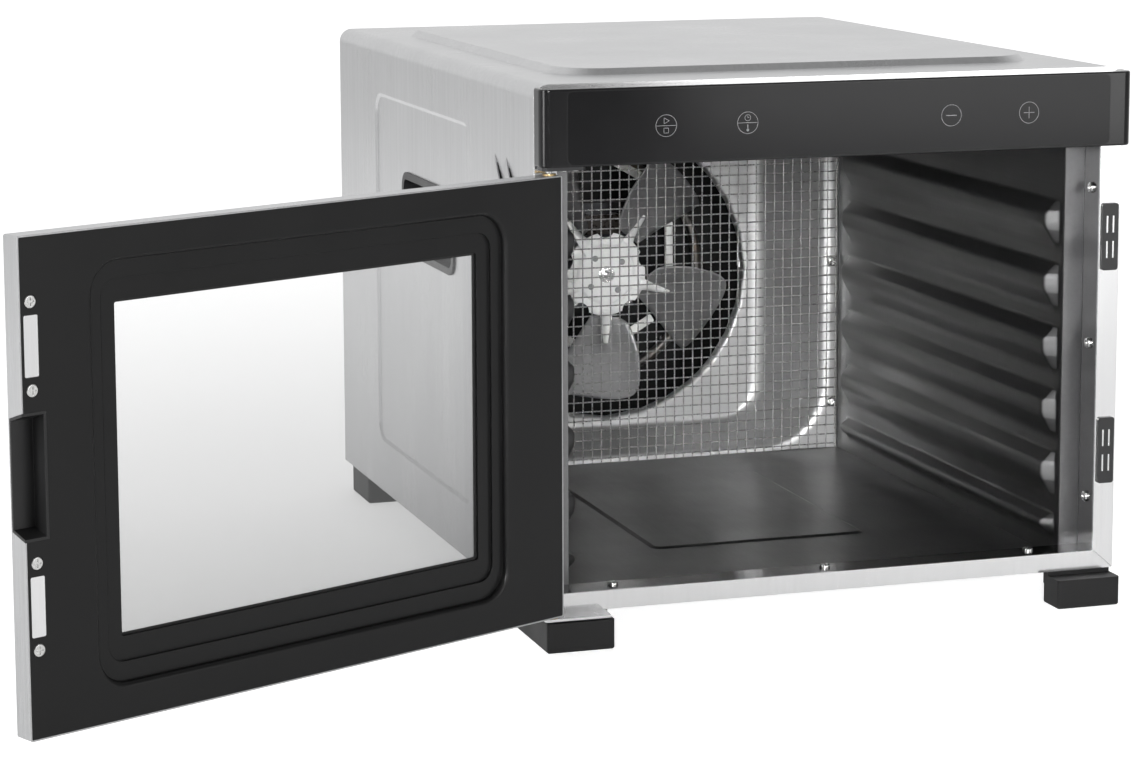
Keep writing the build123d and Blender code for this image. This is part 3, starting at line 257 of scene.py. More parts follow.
def moulded(name, colour, roughness, grain_size=0.0006, depth=0.00001, wear=0.0, **sockets):
    """Injection-moulded plastic or paint: fine spark-eroded texture and handling marks."""
    plastic = Finish(name, colour, roughness, **sockets)
    texture = plastic.noise(grain_size, detail=3.0, roughness=0.6)
    smudges = plastic.noise(0.035, detail=5.0, roughness=0.6, offset=2.0)
    plastic.tone(smudges, 0.9, 1.12)
    plastic.gloss(smudges, roughness * 0.86, roughness * 1.15)
    plastic.relief(texture, depth)
    if wear:
        worn = tuple(min(1.0, c * 2.2 + 0.02) for c in colour)
        mask = plastic.edges(0.0005)
        scuffed = plastic.add("Math", {0: mask, 1: smudges}, operation="MULTIPLY").outputs[0]
        plastic.tint(plastic.spread(scuffed, 0.0, wear, (0.1, 0.6)), worn)
    return plastic


# ---- Finishes, by the record's material slots ---------------------------------------------------
def cabinet_steel():
    steel = brushed("cabinet_steel", (0.58, 0.583, 0.59), 0.30, swing=0.10, depth=0.000006, soft=0.0006)
    ripple = steel.noise(0.09, detail=1.0, offset=11.0)
    return steel.relief(ripple, 0.0006)


def base_steel():
    steel = brushed("base_steel", (0.48, 0.49, 0.50), 0.42, grain=(1, 1, 1), swing=0.1)
    spangle = steel.add("TexVoronoi", {"Vector": steel.space, "Scale": 140.0}).outputs["Color"]
    return steel.tone(steel.add("RGBToBW", {"Color": spangle}).outputs[0], 0.86, 1.06)


def polished_trim():
    """Bright sheet on its front faces; the returns behind them are darkened with painted shade."""
    trim = brushed("polished_trim", (0.88, 0.88, 0.885), 0.14, swing=0.03, depth=0.000002, soft=0.0003)
    depth = trim.add("SeparateXYZ", {"Vector": trim.space}).outputs["Y"]
    face = min(corner[1] for corner in NODES["front_frame"].bound_box)
    # Painted shade: faces lying more than about 1 mm behind the front are tinted dark, standing in for the dark they
    # mirror from the cavity.
    return trim.tint(trim.spread(depth, 0.0, 1.0, (face + 0.001, face + 0.0018)), (0.16, 0.16, 0.162))


def liner_steel():
    steel = brushed("liner_steel", (0.19, 0.19, 0.192), 0.34, grain=(1, 60, 1), swing=0.08)
    waves = steel.noise(0.05, (1, 2.2, 1), detail=2.0, offset=5.0)
    return steel.relief(waves, 0.0011)


def pan_steel():
    steel = brushed("pan_steel", (0.62, 0.62, 0.62), 0.52, grain=(60, 1, 1), swing=0.08)
    waves = steel.noise(0.045, detail=2.0, offset=9.0)
    return steel.relief(waves, 0.0007)


def guard_wire():
    wire = Finish("guard_wire", (0.42, 0.42, 0.415), 0.3, metallic=1.0)
    drawn = wire.noise(0.0007, detail=3.0)
    return wire.tone(drawn, 0.8, 1.06).gloss(drawn, 0.2, 0.4).relief(drawn, 0.00001)


def screw_zinc():
    zinc = Finish("screw_zinc", (0.74, 0.74, 0.73), 0.2, metallic=1.0)
    speckle = zinc.noise(0.0012, detail=4.0)
    zinc.tone(speckle, 0.84, 1.05).gloss(speckle, 0.12, 0.34)
    return zinc.tint(zinc.edges(0.0002, 0.05, 0.4), (0.9, 0.9, 0.9))


def moulded_black():
    return moulded("moulded_black", (0.010, 0.010, 0.0105), 0.40, wear=0.4, soft=0.0004)


def black_painted_steel():
    return moulded("black_painted_steel", (0.013, 0.013, 0.014), 0.36, depth=0.000006, wear=0.6)


def foot_rubber():
    return moulded(
        "foot_rubber", (0.006, 0.006, 0.0062), 0.5, grain_size=0.0009, depth=0.00002, soft=0.0008,
        Specular_IOR_Level=0.3,
    )


def lamination_steel():
    steel = Finish("lamination_steel", (0.07, 0.07, 0.075), 0.5, metallic=1.0)
    layers = steel.add("TexWave", {"Vector": steel.space, "Scale": 320.0, "Distortion": 0.4})
    layers.bands_direction = "Y"
    steel.tone(layers.outputs[1], 0.65, 1.1, (0.2, 0.8)).relief(layers.outputs[1], 0.00008)
    return steel.gloss(steel.noise(0.004, detail=4.0), 0.35, 0.6)


def copper_winding():
    # Painted shade: the winding's colour is kept far darker than copper, so that the motor behind the blades reads
    # dark.
    copper = Finish("copper_winding", (0.05, 0.04, 0.035), 0.4, metallic=0.2, Coat_Weight=0.3)
    turns = copper.add("TexWave", {"Vector": copper.space, "Scale": 380.0, "Distortion": 0.6})
    turns.bands_direction = "Z"
    copper.tone(turns.outputs[1], 0.5, 1.15, (0.2, 0.8)).relief(turns.outputs[1], 0.00025)
    return copper.gloss(copper.noise(0.003), 0.2, 0.4)


def motor_zinc():
    # Painted shade: the casting's colour is kept far darker than bare zinc, so that the motor behind the blades reads
    # dark.
    zinc = Finish("motor_zinc", (0.12, 0.12, 0.125), 0.5, metallic=1.0)
    cast = zinc.noise(0.0011, detail=4.0)
    return zinc.tone(cast, 0.85, 1.08).gloss(cast, 0.42, 0.62).relief(cast, 0.00005)


def heater_sheath():
    sheath = Finish("heater_sheath", (0.13, 0.125, 0.12), 0.4, metallic=1.0)
    heat = sheath.noise(0.02, detail=4.0)
    sheath.tint(sheath.spread(heat, 0.0, 0.7, (0.45, 0.75)), (0.2, 0.13, 0.08))
    return sheath.gloss(heat, 0.3, 0.55).relief(sheath.noise(0.0006), 0.00002)


def reflector_strip():
    strip = Finish("reflector_strip", (0.9, 0.9, 0.89), 0.35, metallic=0.35)
    fine = strip.noise(0.0004, (1, 1, 30), detail=3.0)
    return strip.tone(fine, 0.95, 1.03).gloss(fine, 0.28, 0.42).relief(fine, 0.000005)


def thermostat_body():
    return moulded("thermostat_body", (0.03, 0.03, 0.03), 0.5)


def sensor_tube():
    return brushed("sensor_tube", (0.65, 0.65, 0.66), 0.2, grain=(1, 20, 1), swing=0.05)


def brass_contacts():
    brass = Finish("brass_contacts", (0.68, 0.54, 0.27), 0.25, metallic=1.0)
    tarnish = brass.noise(0.004, detail=5.0)
    return brass.tone(tarnish, 0.75, 1.05).gloss(tarnish, 0.18, 0.42)


def circuit_board():
    board = Finish("circuit_board", (0.015, 0.10, 0.045), 0.32, Coat_Weight=0.3)
    tracks = board.add("TexBrick", {"Vector": board.space, "Scale": 90.0, "Mortar Size": 0.03})
    board.tone(tracks.outputs["Fac"], 1.0, 1.7, (0.0, 1.0)).relief(tracks.outputs["Fac"], 0.00005)
    return board.gloss(board.noise(0.02, detail=4.0), 0.26, 0.42)


def component_black():
    return moulded("component_black", (0.028, 0.028, 0.03), 0.45)


def nylon_white():
    return moulded("nylon_white", (0.74, 0.73, 0.69), 0.45, Subsurface_Weight=0.1)


def bar_gloss_black():
    bar = moulded(
        "bar_gloss_black", (0.006, 0.006, 0.0065), 0.12, grain_size=0.004, depth=0.000006, soft=0.0006
    )
    bar.surface.inputs["Specular IOR Level"].default_value = 0.45
    return bar


def touch_film():
    film = moulded("touch_film", (0.005, 0.005, 0.0055), 0.13, grain_size=0.003, depth=0.000004)
    film.surface.inputs["Specular IOR Level"].default_value = 0.28
    return film


def display_black():
    return moulded("display_black", (0.008, 0.008, 0.01), 0.12)


def pole_steel():
    return brushed("pole_steel", (0.85, 0.85, 0.85), 0.2, grain=(1, 1, 30), swing=0.06)


def pin_steel():
    return brushed("pin_steel", (0.62, 0.62, 0.62), 0.18, grain=(30, 1, 1), swing=0.06)


def blade_aluminium():
    sheet = brushed("blade_aluminium", (0.36, 0.36, 0.365), 0.5, grain=(30, 1, 1), swing=0.09)
    return sheet.relief(sheet.noise(0.02, detail=2.0, offset=4.0), 0.0003)


def hub_bright():
    hub = Finish("hub_bright", (0.93, 0.93, 0.92), 0.36, metallic=0.15)
    skin = hub.noise(0.0016, detail=4.0)
    return hub.tone(skin, 0.95, 1.02).gloss(skin, 0.28, 0.42).relief(skin, 0.00001)


def door_panel_black():
    return moulded(
        "door_panel_black", (0.006, 0.006, 0.0062), 0.34, depth=0.000008, soft=0.0006,
        Specular_IOR_Level=0.3,
    )


def door_glass_pane():
    """Clear pane, mirroring more at grazing angles on both its faces, with painted shade that darkens what shows
    through it towards its bottom.
    """
    glass = Finish("door_glass_pane", (0.93, 0.94, 0.94), 0.03, metallic=0.4)
    dust = glass.noise(0.004, detail=6.0, roughness=0.7)
    glass.gloss(dust, 0.02, 0.05, (0.4, 0.8))
    # Painted shade: what shows through the pane runs from 0.95 at its top down to 0.66 at its bottom.
    height = glass.add("SeparateXYZ", {"Vector": glass.space}).outputs["Z"]
    heights = [corner[2] for corner in NODES["door_glass"].bound_box]
    through = glass.spread(height, 0.66, 0.95, (min(heights), max(heights)))
    tinted = glass.add("CombineColor", {"Red": through, "Green": through, "Blue": through})
    clear = glass.add("BsdfTransparent", {"Color": tinted.outputs[0]})
    facing = glass.add("LayerWeight", {"Blend": 0.5}).outputs["Facing"]
    grazing = glass.add("Math", {0: facing, 1: 4.0}, operation="POWER").outputs[0]
    share = glass.spread(grazing, 0.06, 0.9, (0.0, 1.0))
    mix = glass.add("MixShader", {0: share, 1: clear.outputs[0], 2: glass.surface.outputs[0]})
    out = next(n for n in glass.tree.nodes if n.type == "OUTPUT_MATERIAL")
    glass.tree.links.new(mix.outputs[0], out.inputs["Surface"])
    return glass


def seal_rubber():
    return moulded("seal_rubber", (0.012, 0.012, 0.012), 0.6)


def bush_bronze():
    bronze = Finish("bush_bronze", (0.5, 0.37, 0.19), 0.38, metallic=1.0)
    pores = bronze.noise(0.0005, detail=4.0)
    return bronze.tone(pores, 0.7, 1.08).relief(pores, 0.00003).gloss(pores, 0.3, 0.5)


def key_print():
    ink = Finish("key_print", (0.17, 0.17, 0.175), 0.4)
    grain = ink.noise(0.0003, detail=3.0)
    return ink.tone(grain, 0.9, 1.05).gloss(grain, 0.34, 0.5)


FINISHES = {slot["slot"]: globals()[slot["slot"]]().material for slot in RECORD["materials"]}
PRINT = key_print().material


def paint_cad_nodes():
    """Gives each CAD node the finish of its material slot."""
    for name, node in NODES.items():
        node.data.materials.clear()
        node.data.materials.append(FINISHES[SLOT_OF[name]])


def dull_inside(node, colour, reach):
    """Painted shade on a cover's inner side: everything more than reach in front of its back is tinted the given dark
    colour.
    """
    steel = base_steel()
    back = max(corner[1] for corner in NODES[node].bound_box)
    depth = steel.add("SeparateXYZ", {"Vector": steel.space}).outputs["Y"]
    # Painted shade: the cavity side of the cover is tinted dark, as if lying in the shadow behind the fan.
    steel.tint(steel.spread(depth, 1.0, 0.0, (back - reach, back - reach * 0.5)), colour)
    NODES[node].data.materials[0] = steel.material


paint_cad_nodes()
# The rear panel's inner face takes painted shade, so that the space behind the blades reads dark.
dull_inside("rear_panel", (0.02, 0.02, 0.02), 0.0006)


# ---- Mesh helpers -----------------------------------------------------------------------------
def piece(name, vertices, faces, body, slot, material=None, stands_for=()):
    """A smooth-shaded mesh object that rides on a body and takes its finish from a slot."""
    mesh = bpy.data.meshes.new(name)
    mesh.from_pydata([tuple(v) for v in vertices], [], faces)
    mesh.validate()
    mesh.shade_smooth()
    mesh.materials.append(material or FINISHES[slot])
    made = bpy.data.objects.new(name, mesh)
    bpy.context.scene.collection.objects.link(made)
    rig.ride(made, body)
    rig.slot(made, slot)
    if stands_for:
        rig.replaces(made, *stands_for)
    return made


def sheet_metal(made, thickness, offset):
    """Gives an open surface its sheet thickness and evens its normals."""
    solid = made.modifiers.new("thickness", "SOLIDIFY")
    solid.thickness = thickness
    solid.offset = offset
    even_normals(made)


def even_normals(made):
    made.modifiers.new("even_normals", "WEIGHTED_NORMAL").keep_sharp = True


def grid_faces(rows, columns, closed=False):
    """Quads between rows of points; closed joins each row's last point to its first."""
    faces = []
    span = columns if closed else columns - 1
    for row in range(rows - 1):
        for column in range(span):
            right = (column + 1) % columns
            a = row * columns
            faces.append((a + column, a + right, a + columns + right, a + columns + column))
    return faces


def rounded_path(corners, steps=5):
    """Points along a flat path given as (u, v, radius) corners, with each corner rounded."""
    found = [Vector(corners[0][:2])]
    last = len(corners) - 2
    for index, (before, here, after) in enumerate(zip(corners, corners[1:], corners[2:]), start=1):
        corner = Vector(here[:2])
        back = Vector(before[:2]) - corner
        ahead = Vector(after[:2]) - corner
        back_share = 0.95 if index == 1 else 0.49
        ahead_share = 0.95 if index == last else 0.49
        start = corner + back.normalized() * min(here[2], back.length * back_share)
        end = corner + ahead.normalized() * min(here[2], ahead.length * ahead_share)
        for step in range(steps + 1):
            t = step / steps
            found.append(start.lerp(corner, t).lerp(corner.lerp(end, t), t))
    found.append(Vector(corners[-1][:2]))
    return found


def rectangle_ring(half_u, half_v, radius, per_corner=10, per_side=6):
    """Points round a rounded rectangle, anticlockwise from its right side."""
    found = []
    centres = ((1, 1, 0), (-1, 1, 90), (-1, -1, 180), (1, -1, 270))
    for sign_u, sign_v, start in centres:
        centre = Vector((sign_u * (half_u - radius), sign_v * (half_v - radius)))
        for step in range(per_corner + 1):
            angle = radians(start + 90 * step / per_corner)
            found.append(centre + radius * Vector((cos(angle), sin(angle))))
        turn = radians(start + 90)
        across = Vector((-sign_u if start in (0, 180) else 0, -sign_v if start in (90, 270) else 0))
        run = 2 * ((half_u if start in (0, 180) else half_v) - radius)
        edge = centre + radius * Vector((cos(turn), sin(turn)))
        for step in range(1, per_side):
            found.append(edge + across * run * step / per_side)
    return found


# ---- Drying cavity: pressed rail walls ----------------------------------------------------------
LINER = 0.8 * MM
RAIL_DROPS = (7.0 * MM, 14.8 * MM, 27.0 * MM)
LOWEST_RAIL_DROPS = (4.0 * MM, 7.5 * MM, 13.0 * MM)
RAIL_END_RUN = 5.3 * MM  # how far along y a rail's end facet takes to reach the crest
ROLL = 2.2 * MM  # radius of the bend where the wall meets the front flange


def rail_section(top_z, bottom_z, reach):
    """The wall's section from top to bottom as (offset into the cavity, z)."""
    corners = [(0.0, top_z, 0.0)]
    for slide in reversed(TRAY_SLIDES):
        z = slide[2]
        drops = LOWEST_RAIL_DROPS if slide is TRAY_SLIDES[0] else RAIL_DROPS
        corners.append((0.0, z, 1.2 * MM))
        corners.append((reach, z - drops[0], 2.2 * MM))
        corners.append((reach, z - drops[1], 3.0 * MM))
        corners.append((0.0, z - drops[2], 3.5 * MM))
    corners.append((0.0, bottom_z, 0.0))
    return rounded_path(corners)


def rail_wall(side, name):
    """One cavity wall with six tray rails, whose ends are soft facets."""
    low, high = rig.box(name)
    wall_x = max(abs(low.x), abs(high.x)) - LINER
    reach = wall_x - min(abs(low.x), abs(high.x))
    front = TRAY_SLIDES[0][1]
    back = high.y - 16.0 * MM
    section = rail_section(high.z, low.z, reach)
    outline = rounded_path(
        [
            (low.y, -ROLL, 0.0),
            (low.y, 0.0, ROLL),
            (front, 0.0, 1.4 * MM),
            (front + RAIL_END_RUN, reach, 1.8 * MM),
            (back - RAIL_END_RUN, reach, 1.8 * MM),
            (back, 0.0, 1.4 * MM),
            (high.y, 0.0, 0.0),
        ]
    )
    vertices = []
    for y, height in outline:
        for offset, z in section:
            inwards = height if height < 0 else offset * height / reach
            vertices.append((side * (wall_x - inwards), y, z))
    faces = grid_faces(len(outline), len(section))
    if side < 0:
        faces = [face[::-1] for face in faces]
    made = piece(name + "_pressed", vertices, faces, "root", "liner_steel", stands_for=[name])
    sheet_metal(made, LINER, 1.0)


rail_wall(-1, "left_rail_wall")
rail_wall(1, "right_rail_wall")


# ---- Fan pan --------------------------------------------------------------------------------------
PAN_SHEET = 0.8 * MM
PAN_DEPTH = 43.0 * MM
PAN_MOUTH = (139.0 * MM, 114.0 * MM, 40.0 * MM)  # half width, half height, corner radius
PAN_FLOOR = (107.0 * MM, 104.0 * MM, 28.0 * MM)
PAN_HOLE_RADIUS = 97.0 * MM


def fan_pan():
    """The drawn pan behind the guard: flange, soft mouth, sloping wall, floor and flared hole."""
    low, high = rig.box("fan_pan")
    flange_y = low.y
    floor_y = flange_y + PAN_DEPTH
    centre_z = FAN_CENTRE.z
    slope = PAN_MOUTH[0] - PAN_FLOOR[0]
    rings = []

    def add_rectangle(half_u, half_v, radius, y, z=centre_z):
        rings.append([Vector((u, y, z + v)) for u, v in rectangle_ring(half_u, half_v, radius)])

    middle = (low.z + high.z) / 2
    add_rectangle(high.x, (high.z - low.z) / 2, 1.0 * MM, flange_y, middle)
    profile = rounded_path(
        [
            (-4.0 * MM, 0.0, 0.0),
            (0.0, 0.0, 5.5 * MM),
            (slope, PAN_DEPTH, 7.0 * MM),
            (slope + 7.0 * MM, PAN_DEPTH, 0.0),
        ],
        steps=7,
    )
    for inward, down in profile:
        share = min(max(inward / slope, 0.0), 1.0)
        extra = min(inward, 0.0) + max(inward - slope, 0.0)
        half_u, half_v, radius = (m + (f - m) * share for m, f in zip(PAN_MOUTH, PAN_FLOOR))
        half_u -= extra * (1.0 if extra < 0 else 0.9)
        half_v -= extra * (1.0 if extra < 0 else 0.45)
        radius -= extra * 0.8
        add_rectangle(half_u, half_v, radius, flange_y + down)
    hole = PAN_HOLE_RADIUS
    around = [atan2(p.z - centre_z, p.x) for p in rings[-1]]
    for radius, y in ((hole + 2.6 * MM, 0.0), (hole + 1.2 * MM, 0.5 * MM), (hole + 0.3 * MM, 1.6 * MM),
                      (hole, 3.0 * MM), (hole, 7.0 * MM)):
        rings.append([Vector((radius * cos(a), floor_y + y, centre_z + radius * sin(a))) for a in around])
    vertices = [v for ring in rings for v in ring]
    faces = grid_faces(len(rings), len(rings[0]), closed=True)
    made = piece("fan_pan_drawn", vertices, faces, "root", "pan_steel", stands_for=["fan_pan"])
    sheet_metal(made, PAN_SHEET, -1.0)


fan_pan()


# ---- Fan ------------------------------------------------------------------------------------------
BLADES = 5
BLADE_PITCH = radians(-28)
BLADE_GRID = 33
HUB_RAISE = 1.2 * MM  # how far the hub's centre and arms stand forward of its rim
HUB_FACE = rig.box("fan_hub")[0].y + HUB_RAISE
HUB_RADIUS = 28.0 * MM
HUB_STEP = 20.0 * MM
SHAFT_RADIUS = 2.5 * MM


def fan_place(along, across, forward, arm):
    """A point beside a blade's arm: radius, sideways and forward, turned to that arm."""
    angle = radians(-90 + arm * 360 / BLADES)
    x = along * cos(angle) - across * sin(angle)
    z = along * sin(angle) + across * cos(angle)
    return FAN_CENTRE + Vector((x, -forward, z))


def pitched(across, above, pitch):
    """Turns a blade's section by the pitch: returns sideways and forward."""
    return across * cos(pitch) + above * sin(pitch), above * cos(pitch) - across * sin(pitch)


def eased(value, start, end):
    """0 before start, 1 past end, and a soft step between."""
    share = min(max((value - start) / (end - start), 0.0), 1.0)
    return share * share * (3 - 2 * share)


def bow(points, count):
    """A smooth curve through flat points, resampled evenly by index (Catmull-Rom)."""
    points = [Vector(point) for point in points]
    ends = [2 * points[0] - points[1]] + points + [2 * points[-1] - points[-2]]
    found = []
    for step in range(count):
        place = step / (count - 1) * (len(points) - 1)
        index = min(int(place), len(points) - 2)
        t = place - index
        a, b, c, d = ends[index : index + 4]
        found.append(0.5 * (2 * b + (c - a) * t + (2 * a - 5 * b + 4 * c - d) * t**2
                            + (3 * b - a - 3 * c + d) * t**3))
    return found


def fan_blades():
    """Five cambered blades, each with a rib from the hub that ends in a spot-weld dimple."""
    last = BLADE_GRID - 1
    leading = bow([(29.5, -10), (37, -14.8), (43.5, -19), (50, -23.5), (57, -28.2), (64, -33),
                   (71, -37.8), (77, -40.4)], BLADE_GRID)
    trailing = bow([(29.5, 9.5), (33, 15.2), (38, 18.2), (44, 20.4), (50, 22.2), (57, 23.4), (68, 23.8),
                    (76, 23.2)], BLADE_GRID)
    tip = bow([(77, -40.4), (80.5, -34), (82.4, -27), (84, -20), (85.4, -8), (85.8, 2), (85.2, 11),
               (82.4, 19), (76, 23.2)], BLADE_GRID)
    root = [leading[0].lerp(trailing[0], t / last) for t in range(BLADE_GRID)]
    vertices = []
    for arm in range(BLADES):
        for row in range(BLADE_GRID):
            s = row / last
            for column in range(BLADE_GRID):
                t = column / last
                flat = leading[row].lerp(trailing[row], t) + root[column].lerp(tip[column], s)
                low = leading[0].lerp(leading[-1], s)
                high = trailing[0].lerp(trailing[-1], s)
                flat -= low.lerp(high, t)
                u, v = flat
                camber = -2.4 * (1 - (2 * t - 1) ** 2) * eased(s, 0.0, 0.5)
                rib = 1.1 * (1 - eased(abs(v), 1.6, 4.6)) * (1 - eased(u, 46.0, 53.0))
                dimple = 0.7 * (1 - eased(((u - 50.0) ** 2 + v**2) ** 0.5, 1.2, 3.0))
                curl = -0.9 * (1 - eased(t, 0.0, 0.07)) - 0.7 * eased(t, 0.93, 1.0)
                above = camber + max(rib, dimple) + curl * eased(s, 0.05, 0.2)
                across, forward = pitched(v * MM, above * MM, BLADE_PITCH)
                vertices.append(fan_place(u * MM, across, forward, arm))
    one = grid_faces(BLADE_GRID, BLADE_GRID)
    faces = [tuple(i + arm * BLADE_GRID**2 for i in face) for arm in range(BLADES) for face in one]
    made = piece(
        "fan_blades_formed", vertices, faces, "fan", "blade_aluminium", stands_for=["fan_blades"]
    )
    sheet_metal(made, 1.1 * MM, 0.0)


def hub_edge(angle):
    """The spider's outer radius at an angle: round, with a notch between neighbouring arms."""
    sector = 2 * pi / BLADES
    off = (angle + pi / 2) % sector - sector / 2
    centre = 31.0 * MM
    notch = 6.5 * MM
    across = centre * sin(abs(off))
    if across >= notch:
        return HUB_RADIUS
    return min(HUB_RADIUS, centre * cos(off) - (notch**2 - across**2) ** 0.5)


def fan_hub():
    """The pressed spider: raised centre, notched rim and five tapered arms that twist to the blades."""
    columns = 480
    sector = 2 * pi / BLADES
    shares = [0.0, 0.15, 0.35, 0.52, 0.6, 0.64, 0.66, 0.675, 0.69, 0.705, 0.72, 0.735, 0.75, 0.78, 0.83,
              0.88, 0.93, 0.97, 1.0]
    vertices = []
    for share in shares:
        for column in range(columns):
            angle = 2 * pi * column / columns
            edge = hub_edge(angle)
            radius = SHAFT_RADIUS + (HUB_RADIUS - SHAFT_RADIUS) * share
            radius = min(radius, edge - 0.02 * MM * (1 - share))
            off = (angle + pi / 2 + sector / 2) % sector - sector / 2
            beside = abs(radius * sin(off))
            raised = 1 - eased(radius, HUB_STEP - 0.9 * MM, HUB_STEP + 0.5 * MM)
            arm = 1 - eased(beside, 3.6 * MM, 4.6 * MM)
            ring = 1 - eased(abs(radius - HUB_STEP), 0.5 * MM, 1.1 * MM)
            groove = 0.9 * MM * ring * (1 - arm)
            sunk = 0.35 * MM * eased(share, 0.93, 1.0)
            y = HUB_FACE - HUB_RAISE * max(raised, arm) + max(sunk, groove)
            vertices.append((radius * cos(angle), y, FAN_CENTRE.z + radius * sin(angle)))
    faces = [face[::-1] for face in grid_faces(len(shares), columns, closed=True)]
    front = FAN_CENTRE.y - HUB_FACE + HUB_RAISE
    stations = [24.0, 25.5, 27.5, 30.0, 33.0, 37.0, 41.0, 44.5, 46.3, 47.0]
    sides = [-1.0, -0.82, -0.45, 0.0, 0.45, 0.82, 1.0]
    for arm in range(BLADES):
        start = len(vertices)
        for u in stations:
            taper = (u - stations[0]) / (stations[-1] - stations[0])
            half = (3.9 - 3.3 * taper) * MM
            turn = BLADE_PITCH * eased(u, 24.0, 32.0)
            lift = front - 0.05 * MM + (2.3 * MM - front) * eased(u, 24.5, 36.0)
            crown = (1.3 - 0.8 * taper) * MM
            for side in sides:
                above = crown * (1 - abs(side) ** 3) - crown
                across, forward = pitched(side * half, above, turn)
                vertices.append(fan_place(u * MM, across, forward + lift, arm))
        faces += [tuple(start + i for i in face) for face in grid_faces(len(stations), len(sides))]
    made = piece("fan_hub_pressed", vertices, faces, "fan", "hub_bright", stands_for=["fan_hub"])
    sheet_metal(made, 1.0 * MM, -1.0)


fan_blades()
fan_hub()


# ---- Key marks on the touch film --------------------------------------------------------------------
class Marks:
    """Flat printed strokes on the film's front, gathered into one mesh."""

    def __init__(self, y):
        self.y = y
        self.vertices = []
        self.faces = []

    def strip(self, inner, outer, closed=True):
        start = len(self.vertices)
        self.vertices += [(x, self.y, z) for x, z in inner + outer]
        count = len(inner)
        for index in range(count if closed else count - 1):
            following = (index + 1) % count
            self.faces.append((start + index, start + following, start + count + following,
                               start + count + index))

    def ring(self, x, z, radius, width, steps=48):
        turns = [2 * pi * step / steps for step in range(steps)]
        inner = [(x + (radius - width) * cos(a), z + (radius - width) * sin(a)) for a in turns]
        outer = [(x + radius * cos(a), z + radius * sin(a)) for a in turns]
        self.strip(inner, outer)

    def line(self, x0, z0, x1, z1, width):
        along = Vector((x1 - x0, z1 - z0)).normalized()
        side = Vector((-along.y, along.x)) * width / 2
        first = [(x0 - side.x, z0 - side.y), (x1 - side.x, z1 - side.y)]
        second = [(x0 + side.x, z0 + side.y), (x1 + side.x, z1 + side.y)]
        self.strip(first, second, closed=False)

    def loop(self, points, width):
        for here, after in zip(points, points[1:] + points[:1]):
            self.line(*here, *after, width)


KEY_X = [x * MM for x in (-103.2, -56.9, 62.0, 108.7)]
KEY_RADIUS = 6.0 * MM
KEY_HEIGHT = 18.9 * MM  # over the film's lower edge
PRINT_LIFT = 0.02 * MM


def key_marks():
    """Four round touch keys: start and stop, clock and thermometer, minus, plus."""
    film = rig.box("touch_panel")[0]
    marks = Marks(film.y - PRINT_LIFT)
    z = film.z + KEY_HEIGHT
    stroke = 0.32 * MM
    for x in KEY_X:
        marks.ring(x, z, KEY_RADIUS, stroke)
    for x in KEY_X[:2]:
        marks.line(x - 5.8 * MM, z, x + 5.8 * MM, z, stroke)
    x = KEY_X[0]
    triangle = [(x - 1.2 * MM, z + 1.0 * MM), (x + 1.7 * MM, z + 2.6 * MM), (x - 1.2 * MM, z + 4.2 * MM)]
    marks.loop(triangle, stroke)
    half = 1.3 * MM
    low = z - 2.6 * MM
    square = [(-half, -half), (half, -half), (half, half), (-half, half)]
    marks.loop([(x + u, low + v) for u, v in square], stroke)
    x = KEY_X[1]
    marks.ring(x, z + 2.7 * MM, 1.8 * MM, 0.28 * MM, 24)
    marks.line(x, z + 2.7 * MM, x, z + 3.8 * MM, 0.25 * MM)
    marks.line(x, z + 2.7 * MM, x + 0.9 * MM, z + 2.7 * MM, 0.25 * MM)
    marks.ring(x, z - 3.9 * MM, 0.8 * MM, 0.8 * MM, 16)
    marks.line(x, z - 3.4 * MM, x, z - 0.9 * MM, 0.5 * MM)
    for x in KEY_X[2:]:
        marks.line(x - 3.2 * MM, z, x + 3.2 * MM, z, 0.4 * MM)
    marks.line(KEY_X[3], z - 3.2 * MM, KEY_X[3], z + 3.2 * MM, 0.4 * MM)
    piece("key_marks", marks.vertices, marks.faces, "root", "touch_film", PRINT)


key_marks()


# ---- Camera ---------------------------------------------------------------------------------------
CAMERA_PLACE = (-0.66879, -1.83535, 0.45834)


def camera():
    """The camera that sees the open dehydrator from its front left, a little from above."""
    pitch = radians(8.383)
    yaw = radians(-17.747)
    roll = radians(-0.181)
    ahead = Vector((-sin(yaw) * cos(pitch), cos(yaw) * cos(pitch), -sin(pitch)))
    level = Vector((cos(yaw), sin(yaw), 0.0))
    upright = level.cross(ahead)
    right = cos(roll) * level + sin(roll) * upright
    up = -sin(roll) * level + cos(roll) * upright
    data = bpy.data.cameras.new("camera")
    data.sensor_width = 36.0
    data.lens = 100.94
    data.shift_y = -0.10
    data.clip_start = 0.05
    data.clip_end = 50.0
    made = bpy.data.objects.new("camera", data)
    made.matrix_world = Matrix(
        (
            (right.x, up.x, -ahead.x, CAMERA_PLACE[0]),
            (right.y, up.y, -ahead.y, CAMERA_PLACE[1]),
            (right.z, up.z, -ahead.z, CAMERA_PLACE[2]),
            (0.0, 0.0, 0.0, 1.0),
        )
    )
    bpy.context.scene.collection.objects.link(made)
    bpy.context.scene.camera = made


camera()


# ---- Floor and light --------------------------------------------------------------------------------
LIGHT = {
    "floor": 0.35,
    "floor_back": 0.30,
    "back": 0.85,
    "top": 0.05,
    "front_right": 0.8,
    "base": 0.26,
    "left_strip": 15.0,
    "right_front": 6.0,
    "left_front": 1.0,
    "pan_spot": 0.025,
}


def seen_by_camera(tree, seen, other):
    """A mix of two shaders: the first where the camera looks at it, the second for other light."""
    path = tree.nodes.new("ShaderNodeLightPath")
    mix = tree.nodes.new("ShaderNodeMixShader")
    tree.links.new(path.outputs["Is Camera Ray"], mix.inputs[0])
    tree.links.new(other, mix.inputs[1])
    tree.links.new(seen, mix.inputs[2])
    return mix.outputs[0]


